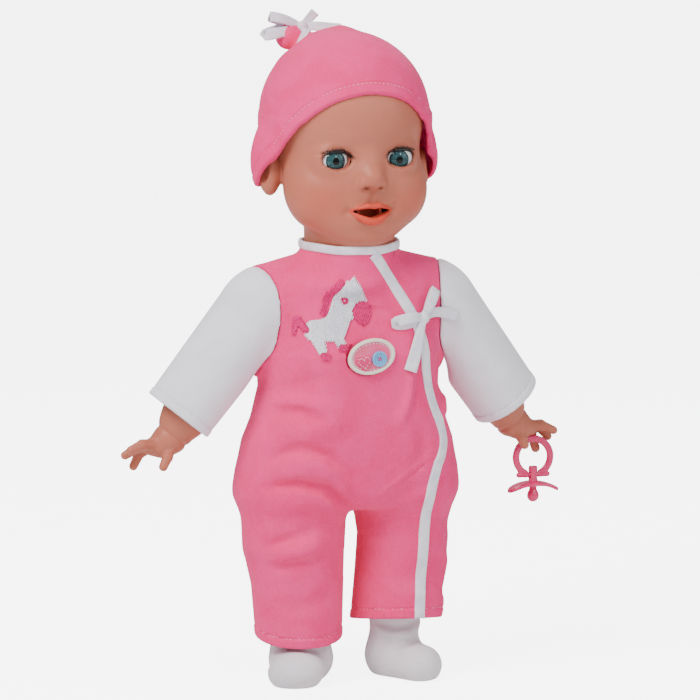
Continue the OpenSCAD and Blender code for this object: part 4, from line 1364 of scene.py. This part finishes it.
def sewn_band(name, path, half, material):
    """Folded tape laid on the front of the clothes along a path in X and Z."""
    line = resample(path, 1.1)
    way = unit(np.gradient(line, axis=0))
    side = np.stack((-way[:, 1], way[:, 0]), -1)
    share = np.array([u for u, _ in TAPE_PROFILE])
    lift = np.array([v for _, v in TAPE_PROFILE])
    x = line[:, :1] + half * side[:, :1] * share
    z = line[:, 1:] + half * side[:, 1:] * share
    rings = np.stack((x, front_of(x, z) - lift, z), -1)
    return band_mesh(name, rings, material), line, side


def stitch_row(name, points, material, every=2.6, size=(1.9, 0.55)):
    """Running stitches along a path given in three dimensions."""
    line = resample(points, every, False)
    way = unit(np.gradient(line, axis=0))
    return planted(name, THREAD_TREE, line, way, size, material, 0.1)


TAPE_EDGE = 2.3  # from the tape's middle line to its stitches
TAPE_LIFT = 1.35  # of the stitches above the cloth


def tape_stitches(name, line, side):
    """Stitches along one edge of a sewn band."""
    x, z = (line + TAPE_EDGE * side).T
    return stitch_row(name, np.stack((x, front_of(x, z) - TAPE_LIFT, z), -1), WHITE_THREAD)


upper_path = [
    (5, 249.4), (13, 239), (22, 224.5), (29.6, 211), (34.4, 196), (35, 182), (39.6, 163), (46.4, 148),
    (47.6, 140), (45.4, 132), (42.6, 127.4)
]
lower_path = [(42.9, 128.4), (40.2, 120), (38, 110), (36.4, 76.6), (34.6, 45), (34.4, 37)]
binding, line, side = sewn_band("front_binding_tape", upper_path, 3.35, WHITE_TAPE)
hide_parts("front_binding")
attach(binding, "body")
row = tape_stitches("front_binding_stitches", line, side)
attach(row, "body")
binding, line, side = sewn_band("leg_binding_tape", lower_path, 3.35, WHITE_TAPE)
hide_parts("leg_binding_left")
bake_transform(binding)
row = tape_stitches("leg_binding_stitches", line, side)
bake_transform(row)

# the collar's binding: a ring that dips at the front
turn = np.linspace(0, 2 * np.pi, 96, endpoint=False)[:, None]
bulge = np.linspace(0, 2 * np.pi, 16, endpoint=False)
across = 1.25 * np.sign(np.cos(bulge)) * np.abs(np.cos(bulge)) ** 0.7
tall = 2.5 * np.sign(np.sin(bulge)) * np.abs(np.sin(bulge)) ** 0.7
middle_z = 252.9 - 1.4 * np.maximum(-np.sin(turn), 0) ** 2
far = 28.0 + across + 0.10 * np.sin(5 * turn) + 0 * turn
rings = np.stack((far * np.cos(turn), far * np.sin(turn), middle_z + tall + 0.15 * np.sin(7 * turn + 1)), -1)
collar = band_mesh("neck_binding_tape", rings, WHITE_TAPE, True)
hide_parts("neck_binding")
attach(collar, "body")
print("bindings sewn on")

# %% [markdown]
# Hems and cuffs are turned in and sewn with one row of stitches. Each row follows the cloth: points on a
# circle round the limb are moved onto the surface of the field along its slope.


# %% Hem and cuff stitches
def onto(field, points, lift=0.2):
    """Moves points onto a field's surface, a little outside it."""
    for _ in range(12):
        g = slope(field, points)
        points = points - (field(points) - lift)[:, None] * g / np.maximum((g * g).sum(1), 0.25)[:, None]
    return points


around = np.linspace(0, 2 * np.pi, 90)
for side, sign, middle, wide in (("right", -1, (-30.4, 2), 25), ("left", 1, (29, 2), 27)):
    ring = np.stack(
        (middle[0] + wide * np.cos(around), middle[1] + wide * np.sin(around), 0 * around + 38), -1
    )
    for _ in range(3):
        ring[:, 2] = hem_level(ring) + HEM
        ring = onto(bodice_field, ring, 0.15)
    row = stitch_row("hem_stitches_" + side, ring, SEAM_THREAD, size=(1.7, 0.5))
    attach(row, "leg_" + side)
    a = unit(np.cross(SLEEVE_WAY, [0, 1, 0]))
    b = np.cross(SLEEVE_WAY, a)
    ring = SLEEVE_END - HEM * SLEEVE_WAY + 20.3 * (np.cos(around)[:, None] * a + np.sin(around)[:, None] * b)
    for _ in range(3):
        up = (SLEEVE_END - ring) @ SLEEVE_WAY + 0.07 * (
            ring[:, 2] - SLEEVE_END[2]
        ) - 0.07 * (ring[:, 0] - SLEEVE_END[0])
        ring = onto(sleeve_field, ring + (up - HEM)[:, None] * SLEEVE_WAY, 0.12)
    row = stitch_row("cuff_stitches_" + side, ring * (sign, 1, 1), WHITE_THREAD, size=(1.7, 0.5))
    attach(row, "arm_" + side)
ring = []
for x in list(np.linspace(-52, 52, 60)):
    ring.append((x, 8.5 - 46 * math.sqrt(max(1 - (x / 53) ** 2, 0)), 300))
ring = np.array(ring)
for _ in range(6):
    ring[:, 2] += (HEM - hat_rise(ring)) * math.hypot(1, 1.2) * 0.7
    ring = onto(hat_field, ring, 0.15)
row = stitch_row("hat_hem_stitches", ring, SEAM_THREAD, size=(1.7, 0.5))
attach(row, "hat")
print("hems stitched")

# %% [markdown]
# ## Bows
#
# Each bow is one length of satin ribbon tied by hand: two loops, two tails and a knot. The parts are
# ribbon bands with a slight twist, their ends cut slanting.


# %% Ribbon bows
def ribbon(name, path, half, normals, thick=0.35):
    """A flat ribbon along a path. normals face away from its broad side, one at each end."""
    line = resample(path, 0.9)
    share = np.linspace(0, 1, len(line))[:, None]
    way = unit(np.gradient(line, axis=0))
    up = (1 - share) * np.array(normals[0], float) + share * np.array(normals[1], float)
    up = unit(up - (up * way).sum(1, keepdims=True) * way)
    side = np.cross(way, up)
    wide = np.interp(share[:, 0], np.linspace(0, 1, len(half)), half)[:, None]
    cup = 0.35 * np.cos(share * 5)
    rings = []
    for u, v in (
        (-1, 0), (-0.94, 1), (-0.5, 1), (0, 1), (0.5, 1), (0.94, 1), (1, 0), (0.94, -1), (0.5, -1), (0, -1),
        (-0.5, -1), (-0.94, -1)
    ):
        rings.append(line + u * wide * side + (v * thick + cup * (1 - u * u)) * up)
    return band_mesh(name, np.stack(rings, 1), WHITE_TAPE)


def sewn_points(table):
    """Points given as X, Z and height above the cloth."""
    table = np.array(table, float)
    return np.stack((table[:, 0], front_of(table[:, 0], table[:, 1]) - table[:, 2], table[:, 1]), -1)


FRONT = (0, -1, 0)
bow_parts = (
    (
        "bow_loop_left",
        [
            (34, 212, 2.6), (27, 212.8, 5.2), (19, 211.4, 4.6), (15, 210, 3.0), (19, 208.6, 1.4),
            (27, 209.4, 1.2), (34, 211, 1.8)
        ],
        (2.2, 3.2, 3.3, 3.2, 2.2), (FRONT, FRONT)
    ),
    (
        "bow_loop_up",
        [
            (35, 213, 2.6), (38.6, 218, 5.2), (42.4, 224, 4.6), (45, 227.6, 2.6), (43.6, 225, 1.4),
            (40, 218, 1.2), (36, 213, 1.8)
        ],
        (2.2, 3.2, 3.3, 3.2, 2.2), (FRONT, FRONT)
    ),
    (
        "bow_tail_right", [(36, 212, 2.2), (44, 214.4, 2.4), (52, 212.8, 2.2), (58.6, 210.4, 1.6)],
        (2.0, 3.0, 3.3), (FRONT, (0.3, -1, 0.1))
    ),
    (
        "bow_tail_down", [(34.4, 211, 2.4), (30.6, 203, 2.6), (27, 193, 1.8), (23.4, 182.4, 1.2)],
        (2.0, 3.0, 3.6, 3.9), (FRONT, (-0.1, -1, 0))
    ),
)
for name, table, half, normals in bow_parts:
    part = ribbon(name, sewn_points(table), half, normals)
    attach(part, "body")


def chest_knot(p):
    d = egg(p, (34.8, front_of(34.8, 212) - 2.4, 212), (3.7, 2.6, 4.1))
    return d + 0.28 * np.sin((p[:, 2] - 212) * 3.0 + (p[:, 0] - 35) * 0.8) ** 2


knot = sculpt("bow_knot", chest_knot, (29, -46, 206), (41, -30, 218), 0.5, WHITE_TAPE)
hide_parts("romper_bow")
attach(knot, "body")
TIE = np.array([-16.0, 37.0, 374.5])
hat_bow_parts = (
    (
        "hat_bow_loop_low",
        [
            (0, 0, 0), (-8, -2, -1.5), (-18, -3, -3.5), (-24, -1, -4.5), (-18, 2, -2.5), (-8, 2, 0),
            (0, 1, 0)
        ],
        (2.0, 3.0, 3.2, 3.0, 2.0), ((0.1, -1, 0.3), (0.1, -1, 0.3))
    ),
    (
        "hat_bow_loop_high",
        [(0, 0, 0), (-7, -2, 3.6), (-15, -3, 6.2), (-21, -1, 7.0), (-15, 2, 4.6), (-7, 2, 2.4), (0, 1, 0)],
        (2.0, 2.8, 3.0, 2.8, 2.0), ((0.1, -1, 0.2), (0.1, -1, 0.2))
    ),
    (
        "hat_bow_tail_up", [(0, 0, 0), (4, -1, 4), (8, -2, 8.6)], (1.8, 2.6, 3.0),
        ((0, -1, 0.2), (0.2, -1, 0.2))
    ),
    (
        "hat_bow_tail_side", [(0, 0, 0), (8, -3, 0.6), (16, -4, -0.8), (23, -4, -1.4)],
        (1.8, 2.8, 3.2, 3.2), ((0, -1, 0.3), (0, -1, 0.5))
    ),
)
for name, table, half, normals in hat_bow_parts:
    part = ribbon(name, TIE + np.array(table, float), half, normals)
    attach(part, "hat")


def hat_knot(p):
    d = egg(p, TIE + (0.4, -1, 0), (3.4, 3.0, 3.6))
    # the ribbon's turn round the gathered cloth
    middle = KNOT + (KNOT_TIP - KNOT) * 0.42
    axis = unit(KNOT_TIP - KNOT)
    t = (p - middle) @ axis
    ring = np.maximum(np.abs(length(p - middle - t[:, None] * axis) - 6.6) - 1.0, np.abs(t) - 2.0)
    return join(d + 0.25 * np.sin((p[:, 2] - 374) * 3.2) ** 2, ring, 1.0)


knot = sculpt("hat_bow_knot", hat_knot, (-30, 22, 356), (-6, 50, 382), 0.6, WHITE_TAPE)
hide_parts("hat_bow")
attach(knot, "hat")
print("bows tied")

# %% [markdown]
# ## The embroidered pony
#
# The motif is a plain pony in satin stitch. A low pad follows the cloth under each colour, as the felt
# under real satin stitch does, and threads lie side by side over it, row after row like bricks.


# %% Embroidery
def flat_limb(x, z, a, b, ra, rb):
    p = np.stack((x, 0 * x, z), -1)
    return limb(p, (a[0], 0, a[1]), (b[0], 0, b[1]), ra, rb)


def pony_white(x, z):
    d = flat_limb(x, z, (-10.6, 226.4), (-5.6, 219.4), 8.4, 6.6)
    d = join(d, flat_limb(x, z, (-14, 219), (-20, 208.6), 6.8, 6.6), 3)
    d = join(d, flat_limb(x, z, (-20, 208), (-31.5, 207), 6.4, 6.2), 3)
    d = np.minimum(d, flat_limb(x, z, (-31.6, 205), (-28.6, 195.6), 3.6, 2.7))
    d = np.minimum(d, flat_limb(x, z, (-19.4, 205), (-17.4, 199.6), 3.4, 2.7))
    for ear in ((-18.6, 232.4), (-7.6, 235.6)):
        d = np.minimum(d, flat_limb(x, z, (ear[0] * 0.9 - 1, ear[1] - 4), ear, 2.6, 1.2))
    return np.maximum(d, -pony_pink(x, z) + 0.2)


def pony_pink(x, z):
    d = np.hypot((x + 2.6) / 5.6, (z - 216.0) / 6.6) * 6.0 - 6.0
    mane = flat_limb(x, z, (-14.5, 234), (-22, 226.5), 1.9, 2.6)
    mane = np.minimum(mane, flat_limb(x, z, (-22, 226.5), (-26, 217), 2.6, 2.0))
    hoof = np.minimum(
        flat_limb(x, z, (-28.2, 192.6), (-26.2, 192.6), 1.9, 1.9),
        flat_limb(x, z, (-17.4, 197.0), (-15.6, 197.0), 1.9, 1.9)
    )
    tail = np.minimum(
        flat_limb(x, z, (-36.4, 207.6), (-40.6, 213.4), 1.5, 2.3),
        flat_limb(x, z, (-40.6, 213), (-42.4, 206), 2.0, 1.4)
    )
    eye_ring = np.abs(np.hypot(x + 12.6, z - 223.2) - 1.5) - 0.55
    return np.minimum(np.minimum(d, mane), np.minimum(np.minimum(hoof, tail), eye_ring))


for name, shape, material in (
    ("pony_white", pony_white, WHITE_THREAD), ("pony_pink", pony_pink, PINK_THREAD)
):
    pad = sculpt(
        name + "_pad", lambda p: carve(np.abs(cloth_form(p)) - 0.75, -shape(p[:, 0], p[:, 2]) - 0.2, 0.5),
        (-47, -42, 188), (4, -22, 240), 0.8, material
    )
    if name == "pony_white":
        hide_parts("embroidery")
    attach(pad, "body")
    x, z = [v.ravel() for v in np.meshgrid(np.arange(-46, 3, 0.62), np.arange(188, 240, 2.3))]
    z = z + 1.15 * (np.round(x / 0.62).astype(int) % 2)
    inside = shape(x, z) < -0.25
    x, z = x[inside], z[inside]
    around = np.stack((x, front_of(x, z) - 0.85, z), -1)
    lean = np.stack((0.5 + 0 * x, 0.12 * np.sin(x), 1 + 0 * x), -1)
    threads = planted(name + "_stitches", THREAD_TREE, around, unit(lean), (3.3, 0.72), material, 0.2)
    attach(threads, "body")
print("pony embroidered")

# %% [markdown]
# ## The press badge
#
# The badge is what a child presses, so it rides the sound button. A cream rim is moulded round a pink
# plate. A stitched heart and a four-hole button sit on it, each its own piece.


# %% Badge
def rim_field(p):
    u, w, h = on_badge(p)
    e = badge_oval(u, w)
    rim = np.hypot(e + 1.0, (h - 1.3) * 0.85) - 1.15
    foot = np.maximum(e + 0.4, np.abs(h - 0.5) - 0.6)
    return join(rim, foot, 0.5)


def plate_field(p):
    u, w, h = on_badge(p)
    return np.maximum(carve(badge_oval(u, w) + 1.5, 1.75 - h, 0.3), -h)


def heart_field(p):
    u, w, h = on_badge(p)
    x, z = np.abs(u + 5.2), w + 2.4
    lobe = np.hypot(x - 2.15, z - 1.1) - 2.6
    point = np.maximum((x * 0.74 + np.abs(z + 0.3) * 0.68) - 3.6, z - 1.1)
    flat = join(lobe, point, 0.6)
    return carve(np.maximum(flat, -h), 2.6 + 0.35 * np.minimum(-flat, 1.2) - h, 0.6)


def button_field(p):
    u, w, h = on_badge(p)
    r = np.hypot(u - 4.2, w + 2.2)
    d = carve(r - 4.5, 3.1 - h, 0.5)
    d = np.maximum(d, -h)
    d = carve(d, np.maximum(r - 3.2, 2.5 - h), 0.35)
    for a in (0.75, -0.75):
        for b in (0.75, -0.75):
            d = np.maximum(d, -np.maximum(np.hypot(u - 4.2 - a, w + 2.2 - b) - 0.42, 0.9 - h))
    return d


BADGE_PINK = plastic("badge_pink_plate", (0.85, 0.11, 0.25, 1), (0.82, 0.07, 0.20, 1), 0.4, 0.3)
for name, field, material, node, slot, size in (
    ("badge_rim", rim_field, CREAM, "badge_plate", "badge_cream", 0.5),
    ("badge_pink_plate", plate_field, BADGE_PINK, None, "hot_pink_plastic", 0.5),
    ("badge_heart_patch", heart_field, HOT_PINK, "badge_heart", "hot_pink_plastic", 0.35),
    ("badge_four_hole_button", button_field, SKY, "badge_button", "badge_blue", 0.3),
):
    part = sculpt(name, field, (-17, -43, 180), (16, -36.6, 204), size, material)
    if node:
        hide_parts(node)
    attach(part, "sound_button")


def from_badge(u, w, h):
    c, k = math.cos(BADGE_TILT), math.sin(BADGE_TILT)
    u, w, h = np.broadcast_arrays(u, w, h)
    return BADGE + np.stack((u * c - w * k, -h, u * k + w * c), -1)


t = np.linspace(0, 2 * np.pi, 17)[:-1]
heart_u = -5.2 + 3.9 * np.sin(t) ** 3
heart_w = -2.1 + 0.27 * (13 * np.cos(t) - 5 * np.cos(2 * t) - 2 * np.cos(3 * t) - np.cos(4 * t)) * 0.92
stitches = from_badge(heart_u * 0.9 - 0.52, heart_w * 0.88 - 0.3, 2.98)
outward = np.roll(stitches, -1, 0) - np.roll(stitches, 1, 0)
t = np.linspace(0, 2 * np.pi, 33)[:-1]
oval = from_badge(11.4 * np.cos(t), 7.4 * np.sin(t), 1.95)
oval_way = np.roll(oval, -1, 0) - np.roll(oval, 1, 0)
row = planted("badge_oval_stitches", THREAD_TREE, oval, unit(oval_way), (1.2, 0.5), WHITE_THREAD, 0.1)
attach(row, "sound_button")
row = planted("heart_stitches", THREAD_TREE, stitches, unit(outward), (0.95, 0.38), WHITE_THREAD, 0.1)
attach(row, "sound_button")
cross = from_badge(np.array([4.2, 4.2]), np.array([-2.2, -2.2]), np.array([2.62, 2.74]))
cross_way = from_badge(np.array([1.0, 1.0]), np.array([1.0, -1.0]), 0.0) - BADGE
row = planted("button_thread", THREAD_TREE, cross, unit(cross_way), (2.8, 0.6), PINK_THREAD, 0.0)
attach(row, "sound_button")
print("badge made")

# %% [markdown]
# ## Feet, hands and pacifier
#
# A sock is knitted cloth over a vinyl foot: the form is a heel, a ball of the foot and an ankle melted
# together, with slack rings where the knit bunches. Hands are soft vinyl with short fingers, and a crease
# at the wrist. The left one keeps the slot that the pacifier's ring slides into.


# %% Socks and shins
def sock_field(p, wide=1.0):
    p = np.stack((28 + (p[:, 0] - 28) / wide, p[:, 1], p[:, 2]), -1)
    c, k = math.cos(math.radians(22)), math.sin(math.radians(22))
    q = p - np.array([27, 6, 0])
    q = np.stack((q[:, 0] * c + q[:, 1] * k, q[:, 1] * c - q[:, 0] * k, q[:, 2]), -1)
    heel, ball_a, ball_b = np.array([0, 0, 10.5]), np.array([-2, -27, 8.9]), np.array([3, -26, 8.5])
    foot = join(limb(q, heel, ball_a, 12.4, 11.0), limb(q, heel, ball_b, 12.4, 10.3), 5)
    ankle = limb(p, (28.5, 4, 16), (29, 2.5, 38), 12.8, 15.3)
    d = join(foot, ankle, 9)
    near = np.abs(d) < 6
    r, f = p[near], d[near]
    for points, width, height in SOCK_FOLDS:
        f = stroke(f, r, points, width, 2.4 * height)
    d = d.copy()
    d[near] = f
    d = carve(d, p[:, 2] - 0.0, 2.0)
    d = carve(d, 40.0 - p[:, 2], 1.0)
    inner = np.maximum(limb(p, (28.6, 3, 26), (29, 2.5, 44), 11.6, 12.5), 29 - p[:, 2])
    return carve(d, inner, 0.4)


SOCK_FOLDS = [
    ([(16, -6, 24), (22, -13, 20), (32, -14, 20), (40, -6, 24)], 2.6, -1.1),
    ([(15, -4, 29), (22, -11, 26), (32, -12, 26), (42, -3, 30)], 2.6, 0.8),
    ([(15, 0, 33), (24, -11, 31), (34, -11, 32), (43, 0, 35)], 2.2, -0.45),
    ([(17, 16, 20), (26, 20, 16), (36, 16, 20)], 3.0, 0.8),
    ([(17, 16, 27), (26, 20, 23), (36, 16, 27)], 2.6, -0.9),
    ([(15, -20, 16), (17, -28, 15), (26, -34, 14)], 2.4, -0.6),
]


def shin_field(p):
    shin = limb(p, (28.6, 3, 20), (29, 2.5, 62), 10.2, 12.6)
    return carve(shin, 66 - p[:, 2], 1.5)


for side, sign in (("right", -1), ("left", 1)):
    for name, field, low, high, size, material, slot, node in (
        (
            "sock_" + side + "_knit", sock_field, (2, -42, -3), (60, 26, 46), 1.0, SOCK_KNIT, "sock_knit",
            "sock_" + side
        ),
        (
            "shin_" + side + "_vinyl", shin_field, (10, -16, 6), (48, 22, 70), 1.6, SKIN_VINYL,
            "vinyl_skin", "shin_" + side
        ),
    ):
        if side == "right" and field is sock_field:
            field = lambda p: sock_field(p, 1.25)
        points, faces = net(field, low, high, size)
        normals = unit(slope(field, points)) * (sign, 1, 1)
        part = mesh_object(name, points * (sign, 1, 1), faces[:, ::sign], material, normals)
        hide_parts(node)
        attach(part, "leg_" + side)
print("socks made")


# %% Hands
SHOULDER = np.array([54.0, 3, 211.5])


def hand_field(p, grip):
    s = (p - SHOULDER) @ SLEEVE_WAY
    at = lambda k: SHOULDER + k * SLEEVE_WAY
    d = limb(p, at(56), at(68), 12.6, 13.4)
    d = join(d, limb(p, at(68), at(86.4), 13.2, 8.6), 5)
    d = join(d, limb(p, (103, 11.4, 143.4), (110, 12.4, 139.6), 8.3, 7.0), 4)
    d = join(d, limb(p, (110, 12, 139.6), (115.6, 13, 138.4), 6.6, 4.6), 3)
    fingers = HELD if grip else OPEN
    for a, b, c, ra, rc in fingers:
        finger = join(limb(p, a, b, ra, 0.5 * (ra + rc)), limb(p, b, c, 0.5 * (ra + rc), rc), 1.0)
        d = join(d, finger, 1.3)
    # the wrist's fat crease and the dimples over the knuckles
    d = d + 0.8 * np.exp(-(((s - 83.5) / 1.3) ** 2)) - 0.35 * np.exp(-(((s - 79) / 4) ** 2))
    for dimple in ((112.4, 9.4, 145.6), (114.6, 13.0, 144.8), (113.6, 17.0, 143.8)):
        d = d + 0.7 * np.exp(-(length(p - dimple) / 1.7) ** 2)
    if grip:
        slot = np.maximum(
            np.maximum(99.5 - p[:, 0], p[:, 0] - 135.5),
            np.maximum(np.abs(p[:, 1] - 12) - 2.0, p[:, 2] - 134.7)
        )
        d = carve(d, slot, 0.3)
    return d


HELD = [
    ((114, 11.6, 140), (122, 10.8, 140.4), (130, 10.6, 136.9), 3.7, 2.5),
    ((114, 14.4, 140), (123, 16.0, 139.0), (129, 17.2, 132.6), 3.5, 2.5),
    ((113, 17, 138.6), (119.4, 19.0, 135), (122, 18.4, 125.8), 3.3, 2.6),
    ((106, 7.4, 138.4), (108.6, 6.0, 134), (110.6, 6.4, 129.8), 3.3, 2.6),
]
OPEN = [
    ((114, 9.8, 140.6), (123, 7.6, 141.0), (130.4, 6.0, 138.4), 3.6, 2.5),
    ((114, 13.4, 140), (124, 13.6, 138.4), (131, 14.4, 134.4), 3.6, 2.5),
    ((113, 17, 138.6), (120.6, 19.6, 134.4), (124, 20.4, 127.0), 3.4, 2.5),
    ((106, 7.6, 138.4), (108.8, 4.4, 133.6), (111.8, 3.0, 128.4), 3.4, 2.6),
]
for side, sign in (("right", -1), ("left", 1)):
    field = lambda p, grip=side == "left": hand_field(p, grip)
    points, faces = net(field, (72, -8, 120), (138, 32, 186), 0.7)
    normals = unit(slope(field, points)) * (sign, 1, 1)
    hand = mesh_object(
        "hand_" + side + "_vinyl", points * (sign, 1, 1), faces[:, ::sign], SKIN_VINYL, normals
    )
    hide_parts("hand_" + side)
    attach(hand, "arm_" + side)
print("hands made")


# %% Pacifier
RING = np.array([118.0, 12, 121.7])
BAR_Z = RING[2] - 12.6 + 2.2


def ring_field(p):
    q = p - RING
    r = np.hypot(q[:, 0], q[:, 2])
    hoop = np.hypot(np.maximum(np.abs(r - 10.6) - 0.7, 0), np.maximum(np.abs(q[:, 1]) - 0.2, 0)) - 1.3
    hoop = np.maximum(hoop, BAR_Z - 1.2 - p[:, 2])
    gap = np.maximum(np.abs(q[:, 0]) - 3.4, np.abs(p[:, 2] - BAR_Z) - 3.0)
    hoop = np.maximum(hoop, -gap)
    bar = limb(p, RING + (-9.0, 0, BAR_Z - RING[2]), RING + (9.0, 0, BAR_Z - RING[2]), 1.45, 1.45)
    return join(hoop, bar, 0.8)


def shield_field(p):
    q = p - np.array([RING[0], RING[1], BAR_Z])
    dish = np.abs(length(q + np.array([0, 0, 31.6])) - 27.1) - 0.95
    edge = np.hypot(np.maximum(np.abs(q[:, 0]) - 9, 0), q[:, 1]) - 6.2 - 0.6 * np.cos(q[:, 0] * 0.34)
    d = carve(dish, -np.maximum(edge, -6), 0.9)
    d = np.maximum(d, -q[:, 2] - 22)
    post = np.maximum(np.hypot(q[:, 0], q[:, 1]) - 2.6, np.abs(q[:, 2] - 0.4) - 4.6)
    eye = np.hypot(q[:, 1], q[:, 2]) - 1.75
    d = join(d, post, 0.8)
    return np.maximum(d, -np.maximum(eye, np.abs(q[:, 0]) - 6))


def teat_field(p):
    q = p - np.array([RING[0], RING[1], BAR_Z - 5.45])
    neck = np.maximum(np.hypot(q[:, 0], q[:, 1]) - 2.1, np.abs(q[:, 2] + 2.4) - 2.3)
    return join(neck, egg(q, (0, 0, -6.9), (3.5, 3.3, 3.6)), 1.6)


for name, field, low, high, size, node, body in (
    ("pacifier_hoop", ring_field, (103, 8.6, 107), (133, 15.4, 136), 0.5, "pacifier_ring", "pacifier_ring"),
    ("pacifier_dish", shield_field, (100, 3, 98), (136, 21, 118), 0.6, "pacifier_shield", "pacifier_shield"),
    ("pacifier_nipple", teat_field, (113, 7, 93), (123, 17, 108), 0.5, "pacifier_teat", "pacifier_shield"),
):
    part = sculpt(name, field, low, high, size, HOT_PINK)
    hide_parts(node)
    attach(part, body)

# %% [markdown]
# ## Finishes for the hard parts inside
#
# Everything that is moulded, stamped or wound keeps the shape it was designed with and only gets its
# material: cases in grey ABS, steel springs and cells, a green board, black switches.

# %% Finishes inside
CASE = plastic("case_plastic", (0.52, 0.53, 0.55, 1), (0.44, 0.45, 0.47, 1), 0.45)
STEEL = plastic("bright_steel", (0.62, 0.62, 0.64, 1), (0.50, 0.50, 0.52, 1), 0.28, 0.0, 1.0)
BLACK = plastic("black_plastic", (0.02, 0.02, 0.022, 1), (0.03, 0.03, 0.032, 1), 0.4)
BOARD = plastic("green_board", (0.02, 0.16, 0.06, 1), (0.015, 0.12, 0.045, 1), 0.4, 0.3)
WIRE = plastic("red_wire", (0.50, 0.02, 0.02, 1), (0.40, 0.015, 0.015, 1), 0.45)
MOUTH = plastic("mouth_vinyl", (0.70, 0.16, 0.10, 1), (0.64, 0.13, 0.08, 1), 0.6)
inside = {
    CASE: (
        "neck_plug", "module_front_case", "module_back_case", "battery_door", "eye_case_right",
        "eye_case_left"
    ),
    WHITE_TAPE: ("neck_tie",),
    STEEL: (
        "module_screws", "batteries", "battery_contacts", "button_spring", "plunger_spring",
        "eye_weight_right", "eye_weight_left"
    ),
    BLACK: ("speaker", "tact_switch", "mouth_switch", "power_slider"),
    BOARD: ("circuit_board",),
    WIRE: ("signal_wire",),
    MOUTH: ("mouth_pocket", "mouth_plunger"),
    HOT_PINK: ("push_cap",),
}
for material, names in inside.items():
    for name in names:
        node = frame["nodes"][name]
        node.data.materials.clear()
        node.data.materials.append(material)
print("finishes given")
